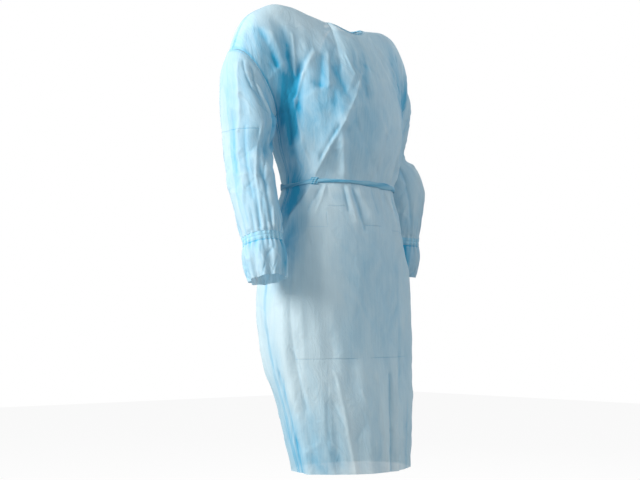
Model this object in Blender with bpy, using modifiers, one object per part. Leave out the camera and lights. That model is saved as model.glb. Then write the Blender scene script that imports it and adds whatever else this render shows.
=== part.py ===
"""Isolation gown: a hollow, worn gown of thin nonwoven cloth, with long sleeves and a waist tie.

Metres, +Z up. The wearer faces -Y, and +X is the wearer's left. The origin is at the top of the
shoulders, over the middle of the neck, where the wearer holds the gown up.

The body is cut as a front and two backs. Below the armpit a point is given by its turn round the
body (0 at the centre front, positive to the wearer's left, in degrees) and its drop below the
shoulders. Above it, each column of cloth is a cubic curve from the shoulder or neck edge down to
the armpit level.
"""

import bpy
import numpy as np

NAME = "isolation_gown"

# Cloth and seams
WALL = 0.0012
SEAM_GAP = 0.0003
PANEL_GAP = 0.0006
ARMHOLE_GAP = 0.0006
SIDE_SEAM = 95.0
DEGREE_ARC = 0.0031

# Levels, as a drop below the top of the shoulders
ARMPIT = 0.260
WAIST = 0.431
HEM = 1.137

# Neck edge: a level oval whose front is scooped
NECK_HALF_WIDTH = 0.060
NECK_HALF_DEPTH = 0.051
NECK_DROP = 0.008
NECK_SCOOP = 0.030
NECK_PART = 0.30

# Body below the armpit: drop, half width, half depth, middle (y)
BODY = (
    (0.200, 0.196, 0.148, 0.024),
    (0.260, 0.191, 0.148, 0.021),
    (0.340, 0.180, 0.141, 0.017),
    (0.431, 0.160, 0.118, 0.014),
    (0.520, 0.182, 0.138, 0.019),
    (0.620, 0.204, 0.153, 0.026),
    (0.727, 0.216, 0.159, 0.027),
    (0.851, 0.210, 0.152, 0.016),
    (1.000, 0.185, 0.136, -0.012),
    (1.137, 0.162, 0.124, -0.032),
)

# Shoulder ridge from the neck's side to the sleeve seam: way along (0 to 1), x, y, drop
RIDGES = {
    "right": (
        (0.00, 0.060, 0.000, 0.008),
        (0.25, 0.115, 0.014, -0.006),
        (0.50, 0.170, 0.030, -0.020),
        (0.72, 0.222, 0.044, -0.012),
        (0.87, 0.276, 0.056, 0.030),
        (1.00, 0.305, 0.068, 0.108),
    ),
    "left": (
        (0.00, 0.060, 0.000, 0.008),
        (0.25, 0.115, 0.016, -0.003),
        (0.50, 0.170, 0.034, -0.011),
        (0.72, 0.216, 0.050, 0.002),
        (0.87, 0.251, 0.063, 0.042),
        (1.00, 0.272, 0.073, 0.112),
    ),
}

# How far a column runs level off its top edge before it turns down: way along, run
FRONT_RUN = ((0.00, 0.090), (0.30, 0.140), (0.60, 0.200), (1.00, 0.270))
BACK_RUN = ((0.00, 0.120), (0.30, 0.160), (0.60, 0.200), (1.00, 0.230))
COLUMN_FALL = 0.24
NECK_SPREAD = 0.30
NECK_SLOPE = 0.65

# Armhole: where along the top edge its pull starts, and the direction of the cloth under it
ARMHOLE_START = 0.72
ARMHOLE_PULL = (-0.55, 0.90, -0.45)

# Centre back: the left back laps over the right one
LAP_TURN = 22.0
LAP_START = 0.25
LAP_PART = 0.3
LAP_LIFT = 0.0030
LAP_RAMP = 22.0
NECK_GAP_TURN = 3.0

# Folds of the body: turn and drop where it starts and ends, half width, height (out is positive)
FOLDS = (
    (-10, 0.215, -28, 0.280, 0.016, 0.0070),
    (-28, 0.280, -56, 0.405, 0.017, 0.0085),
    (-60, 0.455, -81, 0.560, 0.015, 0.0065),
    (-82, 0.570, -84, 0.660, 0.014, 0.0045),
    (-9, 0.110, -7, 0.215, 0.012, -0.0065),
    (-46, 0.130, -48, 0.200, 0.014, -0.0055),
    (-30, 0.330, -28, 0.405, 0.012, 0.0045),
    (8, 0.300, 2, 0.410, 0.014, 0.0055),
    (40, 0.290, 30, 0.405, 0.015, 0.0060),
    (62, 0.230, 52, 0.400, 0.017, 0.0065),
    (-64, 0.150, -72, 0.310, 0.015, -0.0075),
    (-12, 0.462, 4, 0.560, 0.013, 0.0055),
    (26, 0.462, 30, 0.580, 0.014, 0.0055),
    (-42, 0.480, -42, 0.970, 0.022, -0.0050),
    (14, 0.880, 14, 1.137, 0.013, 0.0085),
    (-43, 0.980, -45, 1.137, 0.015, -0.0065),
    (-17, 0.900, -15, 1.137, 0.018, 0.0060),
    (-74, 0.760, -76, 1.137, 0.019, 0.0070),
    (50, 0.640, 54, 1.137, 0.022, 0.0060),
    (75, 0.560, 76, 1.137, 0.018, -0.0055),
    (-114, 0.500, -116, 0.900, 0.020, 0.0055),
    (115, 0.500, 117, 1.000, 0.020, 0.0055),
    (-140, 0.300, -138, 0.405, 0.017, 0.0060),
    (140, 0.300, 138, 0.405, 0.017, 0.0060),
    (-136, 0.480, -142, 0.820, 0.022, 0.0060),
    (132, 0.480, 138, 0.860, 0.024, 0.0060),
    (-132, 0.900, -134, 1.137, 0.022, -0.0065),
    (134, 0.930, 136, 1.137, 0.022, -0.0065),
    (-146, 0.150, -138, 0.260, 0.018, -0.0055),
    (146, 0.150, 138, 0.260, 0.018, -0.0055),
)

# Sleeve tube below the armpit: way along, x, y, drop, half breadth, half depth
SLEEVES = {
    "right": (
        (0.00, 0.258, 0.060, 0.300, 0.056, 0.079),
        (0.25, 0.261, 0.056, 0.365, 0.051, 0.072),
        (0.55, 0.267, 0.027, 0.452, 0.051, 0.064),
        (0.85, 0.270, -0.006, 0.536, 0.052, 0.057),
        (1.00, 0.273, -0.019, 0.574, 0.047, 0.050),
    ),
    "left": (
        (0.00, 0.243, 0.089, 0.295, 0.049, 0.066),
        (0.14, 0.247, 0.089, 0.328, 0.047, 0.061),
        (0.30, 0.266, 0.077, 0.370, 0.063, 0.067),
        (0.64, 0.274, 0.060, 0.455, 0.063, 0.064),
        (1.00, 0.264, 0.048, 0.540, 0.047, 0.050),
    ),
}
SLEEVE_LEAVE = (0.54, 0.00, -0.84)
SLEEVE_HEAD_WAY = -0.7

# Folds of the sleeves: angle and way along at the start and end, half width, height
SLEEVE_ARC = 0.0011
SLEEVE_SPAN = 0.28
SLEEVE_FOLDS = {
    "right": (
        (24, -0.10, 30, 0.55, 0.012, 0.0035),
        (84, -0.30, 98, 0.30, 0.013, -0.0045),
        (128, -0.15, 150, 0.25, 0.013, 0.0040),
        (140, 0.16, 96, 0.30, 0.011, -0.0045),
        (62, 0.36, 104, 0.52, 0.011, 0.0040),
        (350, 0.20, 330, 0.50, 0.013, 0.0035),
        (300, -0.20, 320, 0.32, 0.014, -0.0035),
        (230, 0.05, 250, 0.40, 0.014, 0.0035),
        (14, 0.68, 18, 0.95, 0.009, 0.0030),
        (54, 0.66, 50, 0.95, 0.009, -0.0030),
        (92, 0.70, 90, 0.95, 0.009, 0.0030),
        (140, 0.68, 136, 0.95, 0.010, -0.0030),
        (200, 0.68, 200, 0.95, 0.010, 0.0030),
        (262, 0.66, 260, 0.95, 0.010, 0.0030),
        (318, 0.68, 320, 0.95, 0.009, -0.0030),
    ),
    "left": (
        (40, -0.20, 46, 0.10, 0.012, -0.0035),
        (120, -0.20, 110, 0.15, 0.013, 0.0035),
        (0, 0.14, 70, 0.20, 0.010, -0.0050),
        (20, 0.40, 60, 0.60, 0.012, 0.0040),
        (300, -0.10, 320, 0.32, 0.014, 0.0035),
        (240, 0.05, 250, 0.45, 0.014, -0.0035),
        (10, 0.68, 14, 0.95, 0.009, 0.0030),
        (58, 0.68, 56, 0.95, 0.009, -0.0030),
        (100, 0.68, 100, 0.95, 0.009, 0.0030),
        (160, 0.68, 160, 0.95, 0.010, -0.0030),
        (230, 0.68, 232, 0.95, 0.010, 0.0030),
        (300, 0.66, 300, 0.95, 0.010, -0.0030),
    ),
}

# Wrist: band and frill, in the sleeve's own line
BAND_LENGTH = 0.020
BAND_GATHERS = 12
BAND_RIPPLE = 0.0011
BAND_TUCK = 0.001
FRILL_LENGTH = 0.086
FRILL_WAVES = 9

# Frill: share of its length, swell and wave height
FRILL_ROWS = (
    (0.00, 0.0000, 0.0003),
    (0.16, 0.0035, 0.0016),
    (0.42, 0.0045, 0.0026),
    (0.70, 0.0015, 0.0032),
    (1.00, -0.0045, 0.0036),
)
FRILL_END = {"right": (0.276, -0.046, 0.680), "left": (0.262, 0.058, 0.642)}

# Trims
BINDING_HALF_HEIGHT = 0.0038
BINDING_HALF_THICKNESS = 0.0016
BINDING_RISE = 0.25
WAIST_TIE_HALF_HEIGHT = 0.0085
WAIST_TIE_THICKNESS = 0.0026
TIE_WIDTH = 0.011
TIE_THICKNESS = 0.0013
TIE_GAP_TURN = 4.0
TACK_TURN = -57.0
WAIST_KNOT = (0.0105, 0.0050, 0.0085)
TIE_END_START = 0.0018
WAIST_TIE_END = {"right": 0.700, "left": 0.665}
NECK_KNOT = (0.0085, 0.0060, 0.0040)
NECK_KNOT_AT = (0.0, 0.0500, 0.0000)
NECK_TIE_START = 0.030
NECK_TIE_END = {"right": 0.62, "left": 0.70}
NECK_TIE_WAY = 0.022
NECK_TIE_SPLAY = 0.07
NECK_TIE_RISE = 0.0040
WAY_WIDTH = 0.30
TIE_CLEAR = 0.0006
TIE_CROWN = 0.0008
TIE_END_CLEAR = 0.0012
TIE_END_SPLAY = 0.012

# Grid sizes
NECK_COLUMNS = 7
BACK_NECK_COLUMNS = 5
SHOULDER_COLUMNS = 10
COLUMN_POWER = 1.2
UPPER_ROWS = 10
FALL_POWER = 1.35
LOWER_DROPS = (
    0.290, 0.320, 0.350, 0.380, 0.405, 0.4225, 0.431, 0.4395, 0.455, 0.480, 0.515,
    0.560, 0.610, 0.665, 0.720, 0.780, 0.840, 0.900, 0.960, 1.020, 1.080, 1.137,
)
SLEEVE_SIDES = 20
SLEEVE_HEAD_ROWS = 8
SLEEVE_ROWS = 14
WRIST_SIDES = 36

# Colours and finish
CLOTH_BLUE = (0.36, 0.62, 0.76, 1.0)
SLEEVE_BLUE = (0.33, 0.60, 0.75, 1.0)
TRIM_BLUE = (0.16, 0.50, 0.68, 1.0)
CLOTH_ROUGHNESS = 0.7


def half_columns(neck):
    """Ways of the columns from the centre to the side: the shoulder's draw closer towards the sleeve."""
    shoulder = 1.0 - (1.0 - NECK_PART) * np.linspace(1.0, 0.0, SHOULDER_COLUMNS + 1) ** COLUMN_POWER
    return np.concatenate([np.linspace(0, NECK_PART, neck + 1)[:-1], shoulder])


BACK_WAYS = half_columns(BACK_NECK_COLUMNS)
FRONT_HALF = half_columns(NECK_COLUMNS)
FRONT_WAYS = np.concatenate([-FRONT_HALF[:0:-1], FRONT_HALF])


def smooth_rows(rows, at):
    """Values of a table at the given positions, its first column, by cubics through its rows."""
    table = np.array(rows, dtype=float)
    knots, values = table[:, 0], table[:, 1:]
    slopes = np.gradient(values, knots, axis=0)
    at = np.clip(np.asarray(at, dtype=float), knots[0], knots[-1])
    row = np.clip(np.searchsorted(knots, at, side="right") - 1, 0, len(knots) - 2)
    span = (knots[row + 1] - knots[row])[..., None]
    t = (at - knots[row])[..., None] / span
    start = (2 * t**3 - 3 * t**2 + 1) * values[row] + (t**3 - 2 * t**2 + t) * span * slopes[row]
    end = (3 * t**2 - 2 * t**3) * values[row + 1] + (t**3 - t**2) * span * slopes[row + 1]
    return start + end


def ease(value, low, high):
    """0 below low, 1 above high, and a smooth step between."""
    t = np.clip((value - low) / (high - low), 0.0, 1.0)
    return t * t * (3.0 - 2.0 * t)


def unit(vectors):
    return vectors / np.linalg.norm(vectors, axis=-1, keepdims=True)


def fold_height(folds, across, down, arc):
    """Sum of soft ridges and troughs, each a bell across a straight line on the unrolled cloth.

    The first and third numbers of a fold are degrees round the tube, and arc is a degree's length.
    """
    across, down = np.broadcast_arrays(across * arc, down)
    height = np.zeros(across.shape)
    for turn_0, down_0, turn_1, down_1, half_width, rise in folds:
        run, fall = (turn_1 - turn_0) * arc, down_1 - down_0
        beside, below = across - turn_0 * arc, down - down_0
        way = np.clip((beside * run + below * fall) / (run**2 + fall**2), 0.0, 1.0)
        off = np.hypot(beside - way * run, below - way * fall)
        height += rise * np.exp(-((off / half_width) ** 2))
    return height


def body_point(turn, drop):
    """A point of the plain body below the armpit, on an oval for each drop."""
    half_width, half_depth, middle = np.moveaxis(smooth_rows(BODY, drop), -1, 0)
    angle = np.radians(turn)
    x = half_width * np.sin(angle)
    y = middle - half_depth * np.cos(angle)
    return np.stack(np.broadcast_arrays(x, y, -np.asarray(drop, dtype=float)), axis=-1)


def neck_point(angle):
    """A point of the neck edge: an oval at one level, lowered towards the front by the scoop."""
    front = np.clip(np.cos(np.radians(angle)), 0.0, 1.0)
    x = NECK_HALF_WIDTH * np.sin(np.radians(angle))
    y = -NECK_HALF_DEPTH * np.cos(np.radians(angle))
    return np.stack([x, y, -NECK_DROP - NECK_SCOOP * front**2], axis=-1)


def top_edge(side, way, towards):
    """The cloth's top edge, from the centre (0) past the neck's side to the sleeve seam (1)."""
    sign = 1.0 if side == "left" else -1.0
    turn = 90.0 * np.clip(way / NECK_PART, 0.0, 1.0)
    if towards == "back":
        turn = 180.0 - NECK_GAP_TURN - turn * (1 - NECK_GAP_TURN / 90)
    neck = neck_point(turn)
    ridge_way = np.clip((way - NECK_PART) / (1 - NECK_PART), 0.0, 1.0)
    ridge = smooth_rows(RIDGES[side], ridge_way) * (1, 1, -1)
    edge = np.where((way < NECK_PART)[..., None], neck, ridge)
    return edge * (sign, 1.0, 1.0)


def column_start(side, way, towards):
    """Direction and length in which a column leaves its top edge: off the neck, or level off the ridge."""
    sign = 1.0 if side == "left" else -1.0
    forward = -1.0 if towards == "front" else 1.0
    run = smooth_rows(FRONT_RUN if towards == "front" else BACK_RUN, way)
    neck_share = 1.0 - ease(way, 0.2 * NECK_PART, NECK_PART)
    outward = NECK_SPREAD * ease(way, 0.0, 0.5 * NECK_PART) * neck_share
    direction = np.stack([sign * outward, forward + 0 * way, -NECK_SLOPE * neck_share], axis=-1)
    return unit(direction) * run


def column_end(side, way, towards):
    """Direction and length in which a column reaches the armpit level: down, or in along the armhole."""
    sign = 1.0 if side == "left" else -1.0
    forward = -1.0 if towards == "front" else 1.0
    armhole = ease(way, ARMHOLE_START, 1.0)
    down = np.array([0.0, 0.0, -1.0])
    inward = np.array(ARMHOLE_PULL) * (sign, -forward, 1.0)
    mix = down * (1 - armhole)[..., None] + inward * armhole[..., None]
    return unit(mix) * COLUMN_FALL * (1 - 0.35 * armhole)[..., None]


def upper_cloth(side, way, fall, towards):
    """Points above the armpit: a cubic from the top edge to the armpit level in each column."""
    reach = SIDE_SEAM if towards == "front" else 180.0 - SIDE_SEAM
    turn = reach * way if towards == "front" else 180.0 - reach * way
    sign = 1.0 if side == "left" else -1.0
    top = top_edge(side, way, towards)
    end = body_point(sign * turn, ARMPIT + 0 * way)
    leave, arrive = column_start(side, way, towards), column_end(side, way, towards)
    t = fall[..., None]
    start_part = (2 * t**3 - 3 * t**2 + 1) * top + (t**3 - 2 * t**2 + t) * leave
    end_part = (3 * t**2 - 2 * t**3) * end + (t**3 - t**2) * arrive
    return start_part + end_part


def grid_normals(points):
    """Unit normals of a grid of points, rows down and columns across."""
    down = np.gradient(points, axis=0)
    across = np.gradient(points, axis=1)
    return unit(np.cross(across, -down))


def closed_normals(points):
    """Unit normals of a grid that is joined round."""
    down = np.gradient(points, axis=0)
    across = np.roll(points, -1, axis=1) - np.roll(points, 1, axis=1)
    return unit(np.cross(across, -down))


def front_grid():
    """Front panel's plain points, its turns and its drops."""
    edge = 0.5 * PANEL_GAP / (SIDE_SEAM * DEGREE_ARC)
    way = FRONT_WAYS * (1 - edge * (np.abs(FRONT_WAYS) > 0.99))
    fall = np.linspace(0.0, 1.0, UPPER_ROWS + 1) ** FALL_POWER
    fall[0] = 0.0015
    ways, falls = np.meshgrid(way, fall)
    left = upper_cloth("left", np.abs(ways), falls, "front")
    right = upper_cloth("right", np.abs(ways), falls, "front")
    upper = np.where((ways > 0)[..., None], left, right)
    ways, drops = np.meshgrid(way, np.array(LOWER_DROPS))
    lower = body_point(SIDE_SEAM * ways, drops)
    points = np.concatenate([upper, lower])
    turns = np.broadcast_to(SIDE_SEAM * way, points.shape[:2])
    return points, turns, -points[..., 2]


def lap_width(fall, drop):
    """How far a back runs past the centre, in degrees of turn."""
    return LAP_TURN * ease(fall, LAP_START, 1.0) * (0.45 + 0.55 * ease(drop, ARMPIT, WAIST)) - LAP_PART


def back_grid(side):
    """A back's plain points, turns, drops and lift. The turn is measured on its own side."""
    sign = 1.0 if side == "left" else -1.0
    edge = 0.5 * PANEL_GAP / ((180 - SIDE_SEAM) * DEGREE_ARC)
    share = BACK_WAYS * (1 - edge * (BACK_WAYS > 0.99))
    fall = np.linspace(0.0, 1.0, UPPER_ROWS + 1) ** FALL_POWER
    fall[0] = 0.0015
    shares, falls = np.meshgrid(share, fall)
    past = lap_width(falls, ARMPIT) / (180 - SIDE_SEAM)
    way = shares * (1 + past) - past
    upper = upper_cloth(side, np.abs(way), falls, "back")
    upper = np.where((way < 0)[..., None], upper_cloth(other(side), np.abs(way), falls, "back"), upper)
    turn_upper = 180.0 - (180.0 - SIDE_SEAM) * way
    shares, drops = np.meshgrid(share, np.array(LOWER_DROPS))
    past = lap_width(1.0, drops) / (180 - SIDE_SEAM)
    way = shares * (1 + past) - past
    turn_lower = 180.0 - (180.0 - SIDE_SEAM) * way
    lower = body_point(sign * turn_lower, drops)
    points = np.concatenate([upper, lower])
    turns = np.concatenate([turn_upper, turn_lower])
    falls_all = np.concatenate([falls, np.ones_like(shares)])
    lap = np.concatenate([lap_width(falls, ARMPIT), lap_width(1.0, drops)])
    lift = ease(turns, 180 - lap - LAP_RAMP, 180 - lap - 2) * ease(falls_all, 0.05, LAP_START)
    if side == "right":
        return points, -turns, -points[..., 2], 0 * lift
    return points[:, ::-1], turns[:, ::-1], -points[:, ::-1, 2], LAP_LIFT * lift[:, ::-1]


def other(side):
    return "right" if side == "left" else "left"


def dressed(points, turns, drops, lift=0.0):
    """The points moved along their normals by the folds and by the lift of the lap."""
    normals = grid_normals(points)
    settle = ease(drops, 0.05, 0.13)
    out = fold_height(FOLDS, turns, drops, DEGREE_ARC) * settle + lift
    return points + normals * out[..., None]


def grid_mesh(points, closed=False):
    """Vertices and faces of a grid, rows down and columns across, joined round when closed."""
    rows, columns = points.shape[:2]
    wrap = columns if closed else columns - 1
    row, column = np.meshgrid(np.arange(rows - 1), np.arange(wrap), indexing="ij")
    following = (column + 1) % columns
    a = row * columns + column
    b = row * columns + following
    faces = np.stack([a, a + columns, b + columns, b], axis=-1).reshape(-1, 4)
    return points.reshape(-1, 3), faces


def new_object(name, points, faces, colour, collection):
    mesh = bpy.data.meshes.new(name)
    mesh.from_pydata(points.tolist(), [], [list(map(int, face)) for face in faces])
    mesh.materials.append(plain_material(name, colour))
    mesh.shade_smooth()
    made = bpy.data.objects.new(name, mesh)
    collection.objects.link(made)
    return made


def cloth_wall(name, points, colour, collection, thickness=WALL, closed=False, outward=False):
    """A thin wall: the grid is its outer face, or its inner one when it grows outward."""
    made = new_object(name, *grid_mesh(points, closed), colour, collection)
    solidify = made.modifiers.new("thickness", "SOLIDIFY")
    solidify.thickness = thickness
    solidify.offset = 1.0 if outward else -1.0
    return made


def lofted(name, sections, colour, collection):
    """A solid through closed sections, with a flat end at each end."""
    rows, columns = sections.shape[:2]
    points, faces = grid_mesh(sections[:, ::-1], closed=True)
    start = list(range(columns))
    end = list(range((rows - 1) * columns, rows * columns))
    return new_object(name, points, faces.tolist() + [start, end[::-1]], colour, collection)


def armhole(side, angle):
    """The armhole edge of the body: 0 at the shoulder, 90 at the front, 180 at the armpit."""
    angle = np.mod(angle, 360.0)
    one = np.ones_like(angle)
    front = upper_cloth(side, one, np.clip(angle / 180.0, 0, 1) ** FALL_POWER, "front")
    back = upper_cloth(side, one, np.clip((360.0 - angle) / 180.0, 0, 1) ** FALL_POWER, "back")
    return np.where((angle <= 180.0)[..., None], front, back)


def sleeve_ring(side, way, angle):
    """A ring of the sleeve's tube, an oval square to the arm's line."""
    sign = 1.0 if side == "left" else -1.0
    flip = np.array([sign, 1.0, -1.0])
    centre, breadth, depth = sleeve_section(side, way)
    line = unit((sleeve_section(side, way + 0.2)[0] - sleeve_section(side, way - 0.2)[0]) * flip)
    wrist_line = unit((np.array(FRILL_END[side]) - sleeve_section(side, 1.0)[0]) * flip)
    line = unit(line + (wrist_line - line) * ease(way, 0.75, 1.0))
    return oval(centre * flip, line, breadth, depth, sign, angle)


def sleeve_section(side, way):
    """Middle (x, y, drop), half breadth and half depth of the sleeve at a way along the arm."""
    row = smooth_rows(SLEEVES[side], way)
    return row[:3], row[3], row[4]


def oval(centre, line, half_breadth, half_depth, sign, angle):
    """An oval square to a line: angle 0 points away from the body and 90 to the front."""
    side_way = np.array([sign, 0.0, 0.0])
    out = unit(side_way - line * (line @ side_way))
    front = np.cross(line, out)
    front = front if front[1] < 0 else -front
    turn = np.radians(angle)
    return centre + np.outer(half_breadth * np.cos(turn), out) + np.outer(half_depth * np.sin(turn), front)


def sleeve_grid(side):
    """The sleeve: a cubic in each column from the armhole to the arm's first oval, then its ovals."""
    sign = 1.0 if side == "left" else -1.0
    angle = np.arange(SLEEVE_SIDES) * (360.0 / SLEEVE_SIDES)
    start = armhole(side, angle) + np.array(SLEEVE_LEAVE) * (sign, 1, 1) * ARMHOLE_GAP
    first = sleeve_ring(side, 0.0, angle)
    reach = np.linalg.norm(first - start, axis=1, keepdims=True)
    leave = unit(np.array(SLEEVE_LEAVE)) * (sign, 1, 1) * reach
    arrive = unit(sleeve_ring(side, 0.05, angle) - first) * reach
    rings = []
    for t in np.linspace(0.0, 1.0, SLEEVE_HEAD_ROWS + 1)[:-1]:
        head = (2 * t**3 - 3 * t**2 + 1) * start + (t**3 - 2 * t**2 + t) * leave
        tail = (3 * t**2 - 2 * t**3) * first + (t**3 - t**2) * arrive
        rings.append(head + tail)
    for way in np.linspace(0.0, 1.0, SLEEVE_ROWS + 1):
        rings.append(sleeve_ring(side, way, angle))
    grid = np.array(rings)
    grid = grid[:, ::-1] if sign > 0 else grid
    head_ways = np.linspace(SLEEVE_HEAD_WAY, 0.0, SLEEVE_HEAD_ROWS + 1)[:-1]
    ways = np.concatenate([head_ways, np.linspace(0.0, 1.0, SLEEVE_ROWS + 1)])
    turns = angle[::-1] if sign > 0 else angle
    folds = sleeve_fold_height(side, turns[None, :], ways[:, None])
    settle = ease(ways, SLEEVE_HEAD_WAY, 0.4 * SLEEVE_HEAD_WAY) * (1 - ease(ways, 0.96, 1.0))
    return grid + closed_normals(grid) * (folds * settle[:, None])[..., None]


def sleeve_fold_height(side, angle, way):
    """Folds of a sleeve, with those near the ring's start counted on both sides of it."""
    rows = [(a, u * SLEEVE_SPAN, b, v * SLEEVE_SPAN, w, h) for a, u, b, v, w, h in SLEEVE_FOLDS[side]]
    down = way * SLEEVE_SPAN
    return sum(fold_height(rows, angle + turn, down, SLEEVE_ARC) for turn in (-360.0, 0.0, 360.0))


def wrist_frame(side):
    """Middle, line and half sizes of the wrist at the sleeve's end."""
    sign = 1.0 if side == "left" else -1.0
    table = np.array(SLEEVES[side][-1])
    centre = table[1:4] * (sign, 1.0, -1.0)
    target = np.array(FRILL_END[side]) * (sign, 1.0, -1.0)
    return centre, unit(target - centre), table[4], table[5], sign


def wrist_rings(side, rows, sides):
    """Rings past the sleeve's end: each row has its way along, swell, waves and wave height."""
    centre, line, half_breadth, half_depth, sign = wrist_frame(side)
    angle = np.arange(sides) * (360.0 / sides)
    rings = []
    for along, swell, waves, height in rows:
        grow = swell + height * np.cos(np.radians(angle) * waves)
        middle = centre + line * along
        rings.append(oval(middle, line, half_breadth + grow, half_depth + grow, sign, angle))
    grid = np.array(rings)
    return grid[:, ::-1] if sign > 0 else grid


def wrist_band_grid(side):
    """The elastic casing: a short gathered tube, drawn in at its middle."""
    rows = [
        (SEAM_GAP, 0.0, BAND_GATHERS, 0.5 * BAND_RIPPLE),
        (SEAM_GAP + 0.3 * BAND_LENGTH, -BAND_TUCK, BAND_GATHERS, BAND_RIPPLE),
        (SEAM_GAP + 0.7 * BAND_LENGTH, -BAND_TUCK, BAND_GATHERS, BAND_RIPPLE),
        (SEAM_GAP + BAND_LENGTH, 0.0, BAND_GATHERS, 0.5 * BAND_RIPPLE),
    ]
    return wrist_rings(side, rows, WRIST_SIDES)


def frill_grid(side):
    """The sleeve's free end past the elastic, a waved tube."""
    start = 2 * SEAM_GAP + BAND_LENGTH
    rows = [(start + share * FRILL_LENGTH, swell, FRILL_WAVES, wave) for share, swell, wave in FRILL_ROWS]
    return wrist_rings(side, rows, WRIST_SIDES)


def neck_binding_sections():
    """Small ovals along the neck edge, standing on the panels' top edge."""
    front = 90.0 * FRONT_HALF[FRONT_HALF < NECK_PART + 0.001] / NECK_PART
    back_way = BACK_WAYS[BACK_WAYS < NECK_PART - 0.001][::-1] / NECK_PART
    back = 180.0 - NECK_GAP_TURN - back_way * (90.0 - NECK_GAP_TURN)
    half = np.concatenate([front[1:], back])
    angle = np.concatenate([-half[::-1], [0.0], half])
    edge = neck_point(angle)
    side_way = unit(np.stack([np.sin(np.radians(angle)), -np.cos(np.radians(angle)), 0 * angle], axis=-1))
    slope = NECK_SLOPE * np.cos(np.radians(angle)) ** 2 - BINDING_RISE * np.sin(np.radians(angle)) ** 2
    down = unit(side_way + np.array([0, 0, -1.0]) * slope[..., None])
    along = unit(np.gradient(edge, axis=0))
    face = unit(np.cross(along, down))
    centre = edge - down * (PANEL_GAP + BINDING_HALF_HEIGHT)
    turn = np.radians(np.arange(8) * 45.0)[None, :, None]
    tall = down[:, None] * BINDING_HALF_HEIGHT * np.cos(turn)
    thick = face[:, None] * BINDING_HALF_THICKNESS * np.sin(turn)
    return centre[:, None] + tall + thick


def body_patch(turns, drops, out):
    """Points on the outside of the dressed body at given turns and drops, moved out by a distance."""
    lap = lap_width(1.0, drops)
    lift = LAP_LIFT * ease(np.abs(turns), 180 - lap - LAP_RAMP, 180 - lap - 2)
    return dressed(body_point(turns, drops), turns, drops, lift + out)


def waist_drops():
    """The rows of the panels that lie under the waist tie."""
    return [row for row in LOWER_DROPS if abs(row - WAIST) < 1.01 * WAIST_TIE_HALF_HEIGHT]


def waist_tie_grid():
    """The tie round the waist, on the same columns and rows as the panels under it."""
    front = SIDE_SEAM * FRONT_WAYS
    past = lap_width(1.0, WAIST) / (180 - SIDE_SEAM)
    back = 180.0 - (180.0 - SIDE_SEAM) * (BACK_WAYS * (1 + past) - past)
    back = back[::-1][1:]
    back = np.append(back[back < 178 - TIE_GAP_TURN], 180 - TIE_GAP_TURN)
    turns, drops = np.meshgrid(np.concatenate([-back[::-1], front, back]), waist_drops())
    crown = 1 - ((drops - WAIST) / WAIST_TIE_HALF_HEIGHT) ** 2
    return body_patch(turns, drops, TIE_CLEAR + TIE_CROWN * crown)


def waist_tie_end_grid(side):
    """A tie end down the back of the skirt: it leaves the knot and comes to lie on the cloth."""
    sign = 1.0 if side == "left" else -1.0
    way = np.linspace(0.0, 1.0, 12)[:, None]
    drop = WAIST + WAIST_KNOT[2] + TIE_END_START + (WAIST_TIE_END[side] - WAIST) * way
    middle = 0.5 * (TIE_WIDTH + TIE_CLEAR) + TIE_END_SPLAY * way
    x = sign * middle + np.array([[0.5, -0.5]]) * TIE_WIDTH
    half_width = smooth_rows(BODY, drop)[..., 0]
    turns = 180.0 - np.degrees(np.arcsin(x / half_width))
    out = LAP_LIFT + TIE_END_CLEAR + (WAIST_KNOT[1] - TIE_END_CLEAR) * (1 - ease(way, 0.0, 0.4))
    drops = np.broadcast_to(drop, turns.shape)
    return dressed(body_point(turns, drops), turns, drops, out)


def neck_tie_grid(side):
    """A neck tie down the upper back: it leaves the knot and comes to lie on the cloth."""
    fall = np.linspace(NECK_TIE_START, NECK_TIE_END[side], 12)[:, None]
    middle = NECK_TIE_WAY + NECK_TIE_SPLAY * (fall - NECK_TIE_START)
    sign = 1.0 if side == "left" else -1.0
    way = middle + sign * np.array([[1.0, -1.0]]) * 0.5 * TIE_WIDTH / WAY_WIDTH
    fall = np.broadcast_to(fall, way.shape)
    points = upper_cloth(side, way, fall, "back")
    start = 1 - ease(fall, NECK_TIE_START, NECK_TIE_START + 0.2)
    out = TIE_CLEAR + LAP_LIFT * ease(fall, 0.05, LAP_START) + NECK_TIE_RISE * start
    return points + grid_normals(points) * out[..., None]


def waist_tack_grid():
    """The small patch that holds the tie to the front panel, on the tie's own columns and rows."""
    columns = SIDE_SEAM * FRONT_WAYS
    nearest = int(np.argmin(np.abs(columns - TACK_TURN)))
    turns, drops = np.meshgrid(columns[nearest - 1 : nearest + 2], waist_drops())
    return body_patch(turns, drops, WAIST_TIE_THICKNESS + TIE_CROWN + TIE_CLEAR + SEAM_GAP)


def knot(name, centre, half_sizes, colour, collection):
    """A small pulled-tight knot, a flattened ball."""
    bpy.ops.mesh.primitive_uv_sphere_add(segments=12, ring_count=8, radius=1.0)
    made = bpy.context.object
    made.name = name
    made.data.name = name
    for vertex in made.data.vertices:
        vertex.co = [middle + half * part for middle, half, part in zip(centre, half_sizes, vertex.co)]
    made.data.materials.append(plain_material(name, colour))
    made.data.shade_smooth()
    for holder in list(made.users_collection):
        holder.objects.unlink(made)
    collection.objects.link(made)
    return made


def plain_material(name, colour):
    material = bpy.data.materials.new(name)
    material.use_nodes = True
    shader = material.node_tree.nodes["Principled BSDF"]
    shader.inputs["Base Color"].default_value = colour
    shader.inputs["Roughness"].default_value = CLOTH_ROUGHNESS
    shader.inputs["Metallic"].default_value = 0.0
    return material


def clear_scene():
    for old in list(bpy.data.objects):
        bpy.data.objects.remove(old, do_unlink=True)


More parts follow.
